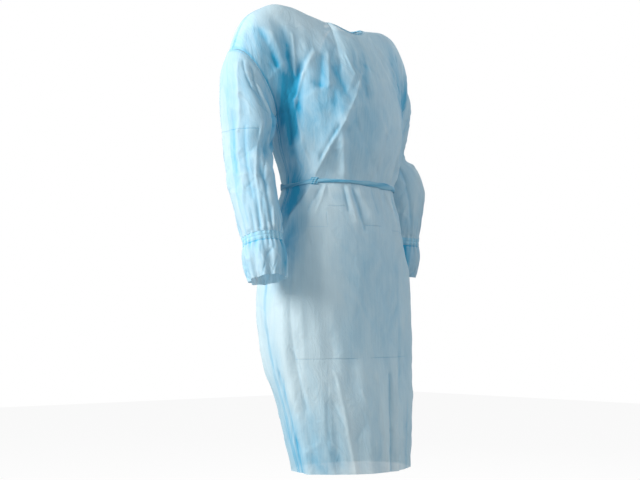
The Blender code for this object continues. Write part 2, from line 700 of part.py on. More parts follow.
def main():
    clear_scene()
    gown = bpy.data.collections.new(NAME)
    bpy.context.scene.collection.children.link(gown)
    cloth_wall("front_panel", dressed(*front_grid()), CLOTH_BLUE, gown)
    for side in ("right", "left"):
        cloth_wall(f"back_panel_{side}", dressed(*back_grid(side)), CLOTH_BLUE, gown)
        cloth_wall(f"sleeve_{side}", sleeve_grid(side), SLEEVE_BLUE, gown, closed=True)
        cloth_wall(f"wrist_band_{side}", wrist_band_grid(side), TRIM_BLUE, gown, closed=True)
        cloth_wall(f"wrist_frill_{side}", frill_grid(side), SLEEVE_BLUE, gown, closed=True)
    lofted("neck_binding", neck_binding_sections(), TRIM_BLUE, gown)
    cloth_wall("waist_tie", waist_tie_grid(), TRIM_BLUE, gown, WAIST_TIE_THICKNESS, outward=True)
    cloth_wall("waist_tie_tack", waist_tack_grid(), TRIM_BLUE, gown, TIE_THICKNESS, outward=True)
    waist_back = body_point(180.0, WAIST)[1] + LAP_LIFT + 0.5 * TIE_CLEAR + WAIST_KNOT[1]
    knot("waist_tie_knot", (0.0, waist_back, -WAIST), WAIST_KNOT, TRIM_BLUE, gown)
    knot("neck_tie_knot", NECK_KNOT_AT, NECK_KNOT, TRIM_BLUE, gown)
    ends = {"waist_tie_end": waist_tie_end_grid, "neck_tie": neck_tie_grid}
    for kind, grid in ends.items():
        for side in ("right", "left"):
            cloth_wall(f"{kind}_{side}", grid(side), TRIM_BLUE, gown, TIE_THICKNESS, outward=True)


main()
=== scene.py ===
"""Isolation gown in thin see-through nonwoven, worn form, with its folds, gathers, ties and finish.

Metres, +Z up. The wearer faces -Y and +X is the wearer's left. A place on the body cloth is its
turn round the body (0 at the centre front, degrees) and its drop below the shoulders. A place on a
sleeve is its angle (0 away from the body, 90 to the front) and its way along the arm.
"""

from math import cos, radians, sin

import bpy
import numpy as np
from mathutils import Matrix, Vector


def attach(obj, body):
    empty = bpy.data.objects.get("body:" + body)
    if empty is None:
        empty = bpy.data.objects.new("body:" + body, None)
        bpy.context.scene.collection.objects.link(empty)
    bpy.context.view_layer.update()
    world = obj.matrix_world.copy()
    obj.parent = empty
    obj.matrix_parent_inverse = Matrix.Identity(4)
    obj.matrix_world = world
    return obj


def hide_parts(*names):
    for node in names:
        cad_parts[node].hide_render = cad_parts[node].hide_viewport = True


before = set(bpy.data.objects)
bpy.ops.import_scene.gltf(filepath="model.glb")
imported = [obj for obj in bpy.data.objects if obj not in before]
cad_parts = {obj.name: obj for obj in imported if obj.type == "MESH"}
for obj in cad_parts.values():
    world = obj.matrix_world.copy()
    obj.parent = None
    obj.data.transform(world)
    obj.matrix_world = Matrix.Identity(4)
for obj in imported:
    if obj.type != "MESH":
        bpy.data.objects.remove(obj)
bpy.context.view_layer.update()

SIGNS = {"right": -1.0, "left": 1.0}
ROUNDS = (-360.0, 0.0, 360.0)

# Levels and cloth, as the solids have them
SIDE_SEAM = 95.0
DEGREE_ARC = 0.0031
ARMPIT = 0.260
WAIST = 0.431
HEM = 1.137
NECK_HALF_WIDTH = 0.060
NECK_HALF_DEPTH = 0.051
NECK_DROP = 0.008
NECK_SCOOP = 0.030
NECK_PART = 0.30
SEAM_ALLOWANCE = 0.006
SEAM_DEPTH = 0.24
WAVE_RISE = 0.00034
WAVE_COUNT = 28
WAVE_SEED = 7

# Body below the armpit: drop, half width, half depth, middle (y)
BODY = (
    (0.2, 0.196, 0.148, 0.024),
    (0.26, 0.191, 0.148, 0.021),
    (0.34, 0.18, 0.141, 0.017),
    (0.431, 0.16, 0.118, 0.014),
    (0.52, 0.182, 0.138, 0.019),
    (0.62, 0.204, 0.153, 0.026),
    (0.727, 0.216, 0.159, 0.027),
    (0.851, 0.21, 0.152, 0.016),
    (1.0, 0.185, 0.136, -0.012),
    (1.137, 0.162, 0.124, -0.032),
)

# Shoulder ridge from the neck's side to the sleeve seam: way along, x, y, drop
RIDGES = {
    "right": (
        (0.0, 0.06, 0.0, 0.008),
        (0.25, 0.115, 0.014, -0.006),
        (0.5, 0.17, 0.03, -0.02),
        (0.72, 0.222, 0.044, -0.012),
        (0.87, 0.276, 0.056, 0.03),
        (1.0, 0.305, 0.068, 0.108),
    ),
    "left": (
        (0.0, 0.06, 0.0, 0.008),
        (0.25, 0.115, 0.016, -0.003),
        (0.5, 0.17, 0.034, -0.011),
        (0.72, 0.216, 0.05, 0.002),
        (0.87, 0.251, 0.063, 0.042),
        (1.0, 0.272, 0.073, 0.112),
    ),
}
FRONT_RUN = ((0.00, 0.090), (0.30, 0.140), (0.60, 0.200), (1.00, 0.270))
BACK_RUN = ((0.00, 0.120), (0.30, 0.160), (0.60, 0.200), (1.00, 0.230))
COLUMN_FALL = 0.24
NECK_SPREAD = 0.30
NECK_SLOPE = 0.65
ARMHOLE_START = 0.72
ARMHOLE_PULL = (-0.55, 0.90, -0.45)
LAP_TURN = 22.0
LAP_START = 0.25
LAP_PART = 0.3
LAP_LIFT = 0.0030
LAP_RAMP = 22.0
NECK_GAP_TURN = 3.0
FALL_POWER = 1.35

# Main folds, four of them lower than in the solids: turn and drop at both ends, half width, height
FOLDS = (
    (-10, 0.215, -28, 0.28, 0.016, 0.0036),
    (-28, 0.28, -56, 0.405, 0.017, 0.0046),
    (-60, 0.455, -81, 0.56, 0.015, 0.0065),
    (-82, 0.57, -84, 0.66, 0.014, 0.0045),
    (-9, 0.11, -7, 0.215, 0.014, -0.004),
    (-46, 0.13, -48, 0.2, 0.016, -0.0036),
    (-30, 0.33, -28, 0.405, 0.012, 0.0045),
    (8, 0.3, 2, 0.41, 0.014, 0.0055),
    (40, 0.29, 30, 0.405, 0.015, 0.006),
    (62, 0.23, 52, 0.4, 0.017, 0.0065),
    (-64, 0.15, -72, 0.31, 0.016, -0.006),
    (-12, 0.462, 4, 0.56, 0.013, 0.0055),
    (26, 0.462, 30, 0.58, 0.014, 0.0055),
    (-42, 0.48, -42, 0.97, 0.022, -0.003),
    (14, 0.88, 14, 1.137, 0.013, 0.0085),
    (-43, 0.98, -45, 1.137, 0.017, -0.003),
    (-17, 0.9, -15, 1.137, 0.018, 0.004),
    (-74, 0.76, -76, 1.137, 0.019, 0.007),
    (50, 0.64, 54, 1.137, 0.022, 0.006),
    (75, 0.56, 76, 1.137, 0.018, -0.0055),
    (-114, 0.5, -116, 0.9, 0.02, 0.0055),
    (115, 0.5, 117, 1.0, 0.02, 0.0055),
    (-140, 0.3, -138, 0.405, 0.017, 0.006),
    (140, 0.3, 138, 0.405, 0.017, 0.006),
    (-136, 0.48, -142, 0.82, 0.022, 0.006),
    (132, 0.48, 138, 0.86, 0.024, 0.006),
    (-132, 0.9, -134, 1.137, 0.022, -0.0065),
    (134, 0.93, 136, 1.137, 0.022, -0.0065),
    (-146, 0.15, -138, 0.26, 0.018, -0.0055),
    (146, 0.15, 138, 0.26, 0.018, -0.0055),
)

# Crisp folds laid over the main ones, in the same columns
CRISP_FOLDS = (
    (-7, 0.15, -28, 0.283, 0.003, 0.0024),
    (-28, 0.283, -42, 0.352, 0.003, 0.0024),
    (-42, 0.352, -56, 0.414, 0.003, 0.0026),
    (-60, 0.447, -77, 0.52, 0.005, 0.0032),
    (-77, 0.52, -84, 0.628, 0.006, 0.0026),
    (-33, 0.3, -50, 0.372, 0.006, -0.0026),
    (-1, 0.1, -6, 0.208, 0.006, -0.002),
    (-7, 0.095, -12, 0.19, 0.005, 0.0022),
    (-43, 0.118, -47, 0.195, 0.007, -0.002),
    (-38, 0.112, -40, 0.2, 0.005, 0.002),
    (-20, 0.112, -15, 0.16, 0.0042, 0.0022),
    (-15, 0.16, -24, 0.206, 0.005, 0.0012),
    (-34, 0.15, -26, 0.2, 0.011, -0.003),
    (-30, 0.318, -28, 0.422, 0.005, 0.001),
    (-28, 0.446, -24, 0.5, 0.004, -0.003),
    (-24, 0.446, -17, 0.53, 0.006, 0.0032),
    (-19, 0.448, -10, 0.545, 0.004, -0.003),
    (21, 0.448, 27, 0.497, 0.0028, 0.0022),
    (27, 0.497, 31, 0.54, 0.0028, 0.0018),
    (-46, 0.446, -52, 0.51, 0.0045, 0.0024),
    (-50, 0.446, -60, 0.5, 0.004, -0.0024),
    (2, 0.446, 7, 0.5, 0.0045, -0.0024),
    (12, 0.446, 14, 0.52, 0.005, 0.0022),
    (38, 0.446, 44, 0.53, 0.005, -0.0026),
    (-75, 0.05, -74, 0.123, 0.007, -0.0026),
    (-74, 0.123, -71, 0.18, 0.008, -0.0028),
    (-68, 0.07, -69, 0.17, 0.005, 0.0032),
    (-53, 0.1, -65, 0.156, 0.007, -0.0022),
    (-65, 0.156, -74, 0.2, 0.008, -0.0028),
    (-50, 0.11, -62, 0.168, 0.005, 0.0028),
    (-62, 0.168, -70, 0.232, 0.0045, 0.0028),
    (-86, 0.06, -84, 0.15, 0.006, -0.004),
    (-82, 0.07, -79, 0.16, 0.005, 0.0028),
    (-78, 0.225, -80, 0.33, 0.007, -0.004),
    (-71, 0.235, -66, 0.33, 0.006, 0.003),
    (9, 0.905, 8, 1.04, 0.0026, -0.0046),
    (8, 1.04, 7, 1.137, 0.0026, -0.0048),
    (-44, 0.93, -52, 1.06, 0.006, -0.0012),
    (-36, 0.9, -30, 1.137, 0.007, 0.003),
    (-3, 0.9, 3, 1.137, 0.007, 0.0022),
    (-56, 0.48, -58, 0.86, 0.01, 0.0022),
    (-42, 0.47, -42, 0.7, 0.028, 0.0052),
    (-42, 0.7, -43, 0.96, 0.028, 0.0046),
    (-68, 0.6, -66, 0.98, 0.006, -0.0018),
    (24, 0.64, 22, 0.96, 0.009, -0.0022),
    (32, 0.3, 20, 0.4, 0.005, 0.0024),
    (52, 0.15, 60, 0.24, 0.006, -0.0036),
    (66, 0.06, 72, 0.17, 0.006, -0.004),
    (74, 0.05, 78, 0.15, 0.005, 0.0028),
    (45, 0.11, 60, 0.18, 0.005, 0.0028),
    (70, 0.2, 62, 0.33, 0.006, 0.003),
    (38, 0.98, 36, 1.137, 0.005, -0.003),
    (62, 0.96, 62, 1.137, 0.006, 0.003),
    (-88, 0.9, -88, 1.137, 0.006, -0.003),
    (-112, 0.15, -118, 0.28, 0.007, -0.004),
    (114, 0.15, 120, 0.28, 0.007, -0.004),
    (-124, 0.09, -130, 0.22, 0.006, 0.003),
    (124, 0.09, 130, 0.22, 0.006, 0.003),
    (-150, 0.3, -152, 0.418, 0.005, 0.0028),
    (-126, 0.31, -132, 0.418, 0.005, -0.0028),
    (150, 0.32, 154, 0.418, 0.005, 0.0026),
    (126, 0.3, 130, 0.418, 0.005, -0.0028),
    (-164, 0.34, -166, 0.418, 0.004, 0.0022),
    (-128, 0.446, -126, 0.54, 0.005, 0.0028),
    (-146, 0.446, -150, 0.56, 0.005, -0.003),
    (-158, 0.446, -160, 0.54, 0.005, 0.0028),
    (122, 0.446, 124, 0.54, 0.005, -0.0028),
    (144, 0.446, 148, 0.56, 0.005, 0.003),
    (156, 0.446, 156, 0.52, 0.0045, -0.0026),
    (-152, 0.86, -154, 1.137, 0.006, 0.0032),
    (-120, 0.94, -120, 1.137, 0.006, -0.003),
    (150, 0.9, 152, 1.137, 0.006, -0.0032),
    (118, 0.98, 120, 1.137, 0.006, 0.003),
    (-160, 0.6, -158, 0.82, 0.008, -0.002),
    (160, 0.56, 162, 0.86, 0.008, 0.002),
)

# Sleeve tube below the armpit: way along, x, y, drop, half breadth, half depth
SLEEVES = {
    "right": (
        (0.0, 0.258, 0.06, 0.3, 0.056, 0.079),
        (0.25, 0.261, 0.056, 0.365, 0.051, 0.072),
        (0.55, 0.267, 0.027, 0.452, 0.051, 0.064),
        (0.85, 0.27, -0.006, 0.536, 0.052, 0.057),
        (1.0, 0.273, -0.019, 0.574, 0.047, 0.05),
    ),
    "left": (
        (0.0, 0.243, 0.089, 0.295, 0.049, 0.066),
        (0.14, 0.247, 0.089, 0.328, 0.047, 0.061),
        (0.3, 0.266, 0.077, 0.37, 0.063, 0.067),
        (0.64, 0.274, 0.06, 0.455, 0.063, 0.064),
        (1.0, 0.264, 0.048, 0.54, 0.047, 0.05),
    ),
}
SLEEVE_LEAVE = (0.54, 0.00, -0.84)
SLEEVE_HEAD_WAY = -0.7
SLEEVE_ARC = 0.0011
SLEEVE_FLAT_ARC = 0.00099
SLEEVE_SPAN = 0.28

# Main sleeve folds, in the solids too: angle and way at both ends, half width, height
SLEEVE_FOLDS = {
    "right": (
        (24, -0.1, 30, 0.55, 0.012, 0.0035),
        (84, -0.3, 98, 0.3, 0.013, -0.0045),
        (128, -0.15, 150, 0.25, 0.013, 0.004),
        (140, 0.16, 96, 0.3, 0.011, -0.0045),
        (62, 0.36, 104, 0.52, 0.011, 0.004),
        (350, 0.2, 330, 0.5, 0.013, 0.0035),
        (300, -0.2, 320, 0.32, 0.014, -0.0035),
        (230, 0.05, 250, 0.4, 0.014, 0.0035),
        (14, 0.68, 18, 0.95, 0.009, 0.003),
        (54, 0.66, 50, 0.95, 0.009, -0.003),
        (92, 0.7, 90, 0.95, 0.009, 0.003),
        (140, 0.68, 136, 0.95, 0.01, -0.003),
        (200, 0.68, 200, 0.95, 0.01, 0.003),
        (262, 0.66, 260, 0.95, 0.01, 0.003),
        (318, 0.68, 320, 0.95, 0.009, -0.003),
    ),
    "left": (
        (40, -0.2, 46, 0.1, 0.012, -0.0035),
        (120, -0.2, 110, 0.15, 0.013, 0.0035),
        (0, 0.14, 70, 0.2, 0.01, -0.005),
        (20, 0.4, 60, 0.6, 0.012, 0.004),
        (300, -0.1, 320, 0.32, 0.014, 0.0035),
        (240, 0.05, 250, 0.45, 0.014, -0.0035),
        (10, 0.68, 14, 0.95, 0.009, 0.003),
        (58, 0.68, 56, 0.95, 0.009, -0.003),
        (100, 0.68, 100, 0.95, 0.009, 0.003),
        (160, 0.68, 160, 0.95, 0.01, -0.003),
        (230, 0.68, 232, 0.95, 0.01, 0.003),
        (300, 0.66, 300, 0.95, 0.01, -0.003),
    ),
}

# Crisp sleeve folds laid over the main ones
CRISP_SLEEVE_FOLDS = {
    "right": (
        (46, -0.55, 33, -0.25, 0.005, 0.0024),
        (33, -0.25, 23, 0.08, 0.0045, 0.0026),
        (23, 0.08, 22, 0.62, 0.004, 0.0024),
        (12, -0.1, 10, 0.45, 0.005, -0.0022),
        (38, 0.05, 40, 0.7, 0.005, -0.002),
        (78, 0.0, 58, 0.55, 0.005, 0.0026),
        (58, 0.55, 54, 0.92, 0.0045, 0.0024),
        (70, 0.1, 72, 0.5, 0.006, -0.0026),
        (104, 0.1, 78, 0.55, 0.005, -0.003),
        (78, 0.55, 76, 0.92, 0.0045, -0.0026),
        (112, -0.2, 118, 0.15, 0.005, -0.0036),
        (96, -0.45, 104, -0.15, 0.0055, 0.003),
        (84, -0.6, 92, -0.3, 0.0045, -0.0034),
        (60, -0.6, 70, -0.35, 0.005, -0.0022),
        (146, 0.2, 120, 0.4, 0.0045, 0.003),
        (150, 0.34, 112, 0.52, 0.0045, -0.0026),
        (340, -0.3, 336, 0.2, 0.006, 0.0022),
        (310, 0.3, 300, 0.7, 0.006, -0.0026),
        (250, -0.2, 262, 0.2, 0.006, -0.0028),
        (276, 0.25, 286, 0.62, 0.0055, 0.0026),
        (214, 0.2, 224, 0.62, 0.006, -0.0024),
        (184, 0.1, 180, 0.6, 0.006, 0.0024),
    ),
    "left": (
        (30, -0.55, 36, -0.15, 0.005, 0.0024),
        (60, -0.6, 56, -0.2, 0.005, -0.0028),
        (90, -0.5, 96, -0.05, 0.0055, -0.0032),
        (104, 0.02, 80, 0.18, 0.0045, 0.0028),
        (28, 0.1, 60, 0.16, 0.004, 0.0026),
        (34, 0.22, 76, 0.3, 0.004, 0.0026),
        (12, 0.26, 18, 0.8, 0.0045, 0.0024),
        (36, 0.32, 34, 0.86, 0.0045, -0.0026),
        (76, 0.34, 72, 0.9, 0.005, 0.0026),
        (120, 0.25, 110, 0.8, 0.005, -0.0026),
        (330, -0.3, 340, 0.3, 0.006, 0.0024),
        (280, 0.1, 290, 0.66, 0.006, 0.0026),
        (262, -0.3, 268, 0.2, 0.006, -0.0028),
        (216, 0.1, 220, 0.7, 0.006, 0.0026),
        (180, 0.2, 184, 0.8, 0.006, -0.0024),
    ),
}

# Wrist and trims, as the solids have them
BAND_LENGTH = 0.020
SEAM_SOFT = 0.0015
FRILL_LENGTH = 0.086
SEAM_GAP = 0.0003
ARMHOLE_GAP = 0.0004
FRILL_END = {"right": (0.276, -0.046, 0.680), "left": (0.262, 0.058, 0.642)}
FRILL_ROWS = (
    (0.0, 0.0, 0.0003),
    (0.16, 0.0035, 0.0016),
    (0.42, 0.0045, 0.0026),
    (0.7, 0.0015, 0.0032),
    (1.0, -0.0045, 0.0036),
)
FRILL_WAVES = 9
BINDING_HALF_HEIGHT = 0.0042
BINDING_HALF_THICKNESS = 0.0018
BINDING_RISE = 0.25
TIE_WIDTH = 0.011
TIE_LIFT = 0.0023
TACK_TURN = -57.0
TACK_HALF_TURN = 4.2
TACK_HALF_HEIGHT = 0.0095
WAIST_KNOT = (0.0105, 0.0050, 0.0085)
WAIST_TIE_END = {"right": 0.700, "left": 0.665}
NECK_KNOT = (0.0085, 0.0060, 0.0040)
KNOT_RINGS = 180
KNOT_SIDES = 16
STRIP_SIDES = 28
TIE_SIDES = 24
CAP_STEPS = (0.02, 0.6, 0.88)
ROUND_STEP = 0.0015
NECK_KNOT_AT = (0.0, 0.0500, 0.0000)
NECK_TIE_START = 0.030
NECK_TIE_END = {"right": 0.62, "left": 0.70}
NECK_TIE_WAY = 0.022
NECK_TIE_SPLAY = 0.07
WAY_WIDTH = 0.30


def cubic(t, start, leave, end, arrive):
    """A cubic from start to end over t from 0 to 1, with its slopes at both ends."""
    first = (2 * t**3 - 3 * t**2 + 1) * start + (t**3 - 2 * t**2 + t) * leave
    return first + ((3 * t**2 - 2 * t**3) * end + (t**3 - t**2) * arrive)


def smooth_rows(rows, at):
    """Values of a table at the given positions, its first column, by cubics through its rows."""
    table = np.array(rows, dtype=float)
    knots, values = table[:, 0], table[:, 1:]
    slopes = np.gradient(values, knots, axis=0)
    at = np.clip(np.asarray(at, dtype=float), knots[0], knots[-1])
    row = np.clip(np.searchsorted(knots, at, side="right") - 1, 0, len(knots) - 2)
    span = (knots[row + 1] - knots[row])[..., None]
    t = (at - knots[row])[..., None] / span
    return cubic(t, values[row], span * slopes[row], values[row + 1], span * slopes[row + 1])


def ease(value, low, high):
    """0 below low, 1 above high, and a smooth step between."""
    t = np.clip((value - low) / (high - low), 0.0, 1.0)
    return t * t * (3.0 - 2.0 * t)


def unit(vectors):
    """The vectors divided by their lengths."""
    return vectors / np.maximum(np.linalg.norm(vectors, axis=-1, keepdims=True), 1e-9)


def bell(off):
    """A soft fold's profile: e to the minus square of the distance over the half width."""
    return np.exp(-(off**2))


def peak(off):
    """A crisp fold's profile: e to the minus distance, rounded at its crest."""
    return np.exp(1.0 - np.sqrt(1.0 + (1.6 * off) ** 2))


def fold_height(folds, across, down, arc, profile=bell):
    """Sum of ridges and troughs. Each is its profile of the distance to a straight line on the
    unrolled cloth, times its height, and it dies away past the line's ends."""
    across, down = np.broadcast_arrays(across * arc, down)
    height = np.zeros(across.shape)
    for turn_0, down_0, turn_1, down_1, half_width, rise in folds:
        run, fall = (turn_1 - turn_0) * arc, down_1 - down_0
        beside, below = across - turn_0 * arc, down - down_0
        way = np.clip((beside * run + below * fall) / (run**2 + fall**2), 0.0, 1.0)
        off = np.hypot(beside - way * run, (below - way * fall) * 0.7)
        height += rise * profile(off / half_width)
    return height


def loose_creases(seed, count, low, high, sizes, lean):
    """Small creases strewn over a panel from a fixed seed: their ends, half width and height.

    Each starts at an even place between low and high and runs off at an angle near lean.
    """
    rng = np.random.default_rng(seed)
    start = rng.uniform(low, high, (count, 2))
    length = rng.uniform(0.018, 0.065, count)
    angle = rng.normal(lean, 0.55, count) * rng.choice([-1.0, 1.0], count)
    width = rng.uniform(*sizes, count)
    height = rng.uniform(0.0005, 0.0015, count) * rng.choice([-1.0, 1.0], count)
    return start, length, angle, width, height


def crease_rows(seed, count, low, high, arc, along=1.0, sizes=(0.0028, 0.0065), lean=0.45):
    """Loose creases as rows of a fold table. arc and along turn metres into the table's units."""
    start, length, angle, width, height = loose_creases(seed, count, low, high, sizes, lean)
    end_turn = start[:, 0] + length * np.sin(angle) / arc
    end_down = start[:, 1] + length * np.cos(angle) / along
    return np.column_stack([start[:, 0], start[:, 1], end_turn, end_down, width, height])


def body_point(turn, drop):
    """A point of the plain body below the armpit, on an oval for each drop."""
    half_width, half_depth, middle = np.moveaxis(smooth_rows(BODY, drop), -1, 0)
    angle = np.radians(turn)
    x = half_width * np.sin(angle)
    y = middle - half_depth * np.cos(angle)
    return np.stack(np.broadcast_arrays(x, y, -np.asarray(drop, dtype=float)), axis=-1)


def neck_point(angle):
    """A point of the neck edge: an oval at one level, lowered towards the front by the scoop."""
    front = np.clip(np.cos(np.radians(angle)), 0.0, 1.0)
    x = NECK_HALF_WIDTH * np.sin(np.radians(angle))
    y = -NECK_HALF_DEPTH * np.cos(np.radians(angle))
    return np.stack([x, y, -NECK_DROP - NECK_SCOOP * front**2], axis=-1)


def top_edge(side, way, towards):
    """The cloth's top edge, from the centre (0) past the neck's side to the sleeve seam (1)."""
    sign = SIGNS[side]
    turn = 90.0 * np.clip(way / NECK_PART, 0.0, 1.0)
    if towards == "back":
        turn = 180.0 - NECK_GAP_TURN - turn * (1 - NECK_GAP_TURN / 90)
    neck = neck_point(turn)
    ridge_way = np.clip((way - NECK_PART) / (1 - NECK_PART), 0.0, 1.0)
    ridge = smooth_rows(RIDGES[side], ridge_way) * (1, 1, -1)
    edge = np.where((way < NECK_PART)[..., None], neck, ridge)
    return edge * (sign, 1.0, 1.0)


def column_start(side, way, towards):
    """Direction and length in which a column leaves its top edge."""
    sign = SIGNS[side]
    forward = -1.0 if towards == "front" else 1.0
    run = smooth_rows(FRONT_RUN if towards == "front" else BACK_RUN, way)
    neck_share = 1.0 - ease(way, 0.2 * NECK_PART, NECK_PART)
    outward = NECK_SPREAD * ease(way, 0.0, 0.5 * NECK_PART) * neck_share
    direction = np.stack([sign * outward, forward + 0 * way, -NECK_SLOPE * neck_share], axis=-1)
    return unit(direction) * run


def column_end(side, way, towards):
    """Direction and length in which a column reaches the armpit level."""
    sign = SIGNS[side]
    forward = -1.0 if towards == "front" else 1.0
    armhole = ease(way, ARMHOLE_START, 1.0)
    down = np.array([0.0, 0.0, -1.0])
    inward = np.array(ARMHOLE_PULL) * (sign, -forward, 1.0)
    mix = down * (1 - armhole)[..., None] + inward * armhole[..., None]
    return unit(mix) * COLUMN_FALL * (1 - 0.35 * armhole)[..., None]


def upper_cloth(side, way, fall, towards):
    """Points above the armpit: a cubic from the top edge to the armpit level in each column."""
    reach = SIDE_SEAM if towards == "front" else 180.0 - SIDE_SEAM
    turn = reach * way if towards == "front" else 180.0 - reach * way
    sign = SIGNS[side]
    top = top_edge(side, way, towards)
    end = body_point(sign * turn, ARMPIT + 0 * way)
    leave, arrive = column_start(side, way, towards), column_end(side, way, towards)
    return cubic(fall[..., None], top, leave, end, arrive)


def grid_normals(points):
    """Unit normals of a grid of points, rows down and columns across."""
    return unit(np.cross(np.gradient(points, axis=1), -np.gradient(points, axis=0)))


def closed_normals(points):
    """Unit normals of a grid that is joined round."""
    across = np.roll(points, -1, axis=1) - np.roll(points, 1, axis=1)
    return unit(np.cross(across, -np.gradient(points, axis=0)))


def run_along(points, axis):
    """Distance run along the rows or columns of a grid from its first one."""
    steps = np.linalg.norm(np.diff(points, axis=axis), axis=-1)
    start = np.zeros_like(np.take(steps, [0], axis=axis))
    return np.cumsum(np.concatenate([start, steps], axis=axis), axis=axis)


def gentle_waves(points):
    """Uneven low waves of the cloth: a sum of sines of the place in space, from a fixed seed, so
    that they run on from one panel to the next. Their fronts stand nearly upright."""
    rng = np.random.default_rng(WAVE_SEED)
    pace = 2 * np.pi / rng.uniform(0.034, 0.110, WAVE_COUNT)
    heading, lean = rng.uniform(0, np.pi, WAVE_COUNT), rng.normal(0.0, 0.45, WAVE_COUNT)
    phase = rng.uniform(0, 2 * np.pi, WAVE_COUNT)
    height = np.zeros(points.shape[:-1])
    for k, a, b, c in zip(pace, heading, lean, phase):
        along = points[..., 0] * np.cos(a) + points[..., 1] * np.sin(a) + points[..., 2] * b
        height += np.sin(k * along + c)
    return WAVE_RISE * height


def painted_shade_highlights_and_gathers(zones, across, down):
    """How much deeper the cloth's colour is made, 0 to 1, for painted shade and for real gathers, or
    below 0 for painted highlights: soft ovals round the middle of each zone, the deepest and the
    lightest one at each place."""
    depth = np.zeros(np.broadcast(across, down).shape)
    # thin keeps the painted highlights, the zones below 0
    thin = np.zeros_like(depth)
    for middle, low, half_across, half_down, amount in zones:
        off = ((across - middle) / half_across) ** 2 + ((down - low) / half_down) ** 2
        laid = amount * np.exp(-off)
        depth, thin = np.maximum(depth, laid), np.minimum(thin, laid)
    return depth + thin


def half_columns(neck, shoulder):
    """Ways of the columns from the centre to the side, with one at the neck's side."""
    return np.concatenate([np.linspace(0, NECK_PART, neck + 1)[:-1], np.linspace(NECK_PART, 1, shoulder + 1)])


def grid_faces(rows, columns, closed):
    """Corner numbers of a grid's faces, rows down and columns across, joined round when closed."""
    wrap = columns if closed else columns - 1
    row, column = np.meshgrid(np.arange(rows - 1), np.arange(wrap), indexing="ij")
    following = (column + 1) % columns
    a, b = row * columns + column, row * columns + following
    faces = np.stack([a, a + columns, b + columns, b], axis=-1).reshape(-1, 4)
    flat = np.stack([row * (wrap + 1) + column, (row + 1) * (wrap + 1) + column], axis=-1)
    flat = np.stack([flat[..., 0], flat[..., 1], flat[..., 1] + 1, flat[..., 0] + 1], axis=-1)
    return faces, flat.reshape(-1)


def set_mesh(name, points, faces):
    """A mesh from an array of points and an array of four-cornered faces."""
    mesh = bpy.data.meshes.new(name)
    mesh.vertices.add(len(points))
    mesh.vertices.foreach_set("co", points.astype(np.float32).ravel())
    mesh.loops.add(faces.size)
    mesh.loops.foreach_set("vertex_index", faces.astype(np.int32).ravel())
    mesh.polygons.add(len(faces))
    mesh.polygons.foreach_set("loop_start", (np.arange(len(faces)) * faces.shape[1]).astype(np.int32))
    mesh.update(calc_edges=True)
    mesh.shade_smooth()
    made = bpy.data.objects.new(name, mesh)
    bpy.context.scene.collection.objects.link(made)
    return made


def set_values(made, shape, **values):
    """Sets named values of a grid of points, each from one number or from a grid."""
    for kind, value in values.items():
        kept = made.data.attributes.new(kind, "FLOAT", "POINT")
        kept.data.foreach_set("value", np.broadcast_to(value, shape).astype(np.float32).ravel())


def cloth_piece(name, points, flat, material, closed=False, layers=0.0, relief=0.0):
    """A sheet of cloth: a grid of points, its places on the flat cloth in metres as the UV map, and
    two attributes: the first for more cloth under it, with painted shade and, below 0, painted
    highlights, and relief (troughs -1, ridges 1), which the material also turns into painted shade
    in the troughs and painted highlights on the ridges."""
    rows, columns = points.shape[:2]
    faces, corners = grid_faces(rows, columns, closed)
    made = set_mesh(name, points.reshape(-1, 3), faces)
    across, down = flat
    if closed:
        across = np.concatenate([across, across[:, -1:] + (across[:, -1:] - across[:, -2:-1])], axis=1)
        down = np.concatenate([down, down[:, :1]], axis=1)
    places = np.stack([across, down], axis=-1).reshape(-1, 2)
    made.data.uv_layers.new(name="cloth").data.foreach_set("uv", places[corners].astype(np.float32).ravel())
    set_values(made, (rows, columns), layers=layers, relief=relief)
    made.data.materials.append(material)
    return made


def flat_places(points, centre_column):
    """Places on the flat cloth: run across from a column, and run down from the top row."""
    across = run_along(points, 1)
    return across - across[:, centre_column : centre_column + 1], run_along(points, 0)


def near_edges(points, sides=True):
    """1 on the seam allowance along the top and side edges of a grid, 0 past it."""
    off = run_along(points, 0)
    if sides:
        across = run_along(points, 1)
        off = np.minimum(off, np.minimum(across, across[:, -1:] - across))
    return 1 - ease(off, SEAM_ALLOWANCE - SEAM_SOFT, SEAM_ALLOWANCE + SEAM_SOFT)


def crinkle(folds, loose, across, down, arc):
    """Heights of the main folds and of the crisp and loose ones, and their relief from -1 to 1."""
    main = fold_height(folds[0], across, down, arc)
    crisp = fold_height(folds[1], across, down, arc, peak) + fold_height(loose, across, down, arc, peak)
    return main, crisp, np.clip(main / 0.010 + crisp / 0.0045, -1.0, 1.0)


# Painted shade and painted highlights on the body cloth, with real gathers under the waist tie: turn, drop,
# half turn, half drop, depth, below 0 for a painted highlight
BODY_PAINTED_SHADE_HIGHLIGHTS_AND_GATHERS = (
    (-80, 0.245, 19, 0.165, 0.86),
    (-82, 0.465, 19, 0.105, 0.86),
    (-76, 0.57, 14, 0.11, 0.76),
    (-36, 0.25, 42, 0.15, 0.46),
    (-60, 0.02, 40, 0.045, -0.24),
    (-78, 1.08, 30, 0.12, 0.42),
    (20, 1.09, 36, 0.11, 0.12),
    (-30, 1.06, 4, 0.1, -0.24),
    (3, 1.05, 6, 0.11, -0.26),
    (24, 1.06, 5, 0.09, -0.2),
    (-64, 0.74, 20, 0.21, -0.3),
    (-12, 0.7, 24, 0.22, 0.14),
    (-58, 0.2, 12, 0.11, 0.16),
    (86, 0.21, 18, 0.13, 0.7),
    (56, 0.21, 17, 0.17, 0.52),
    (90, 0.455, 13, 0.08, 0.5),
    (-98, 0.21, 10, 0.1, 0.5),
    (98, 0.21, 10, 0.1, 0.5),
    (-8, 0.12, 7, 0.05, 0.16),
    (-26, 0.47, 16, 0.022, 0.2),
    (-160, 0.44, 26, 0.02, 0.2),
    (150, 0.44, 26, 0.02, 0.2),
)

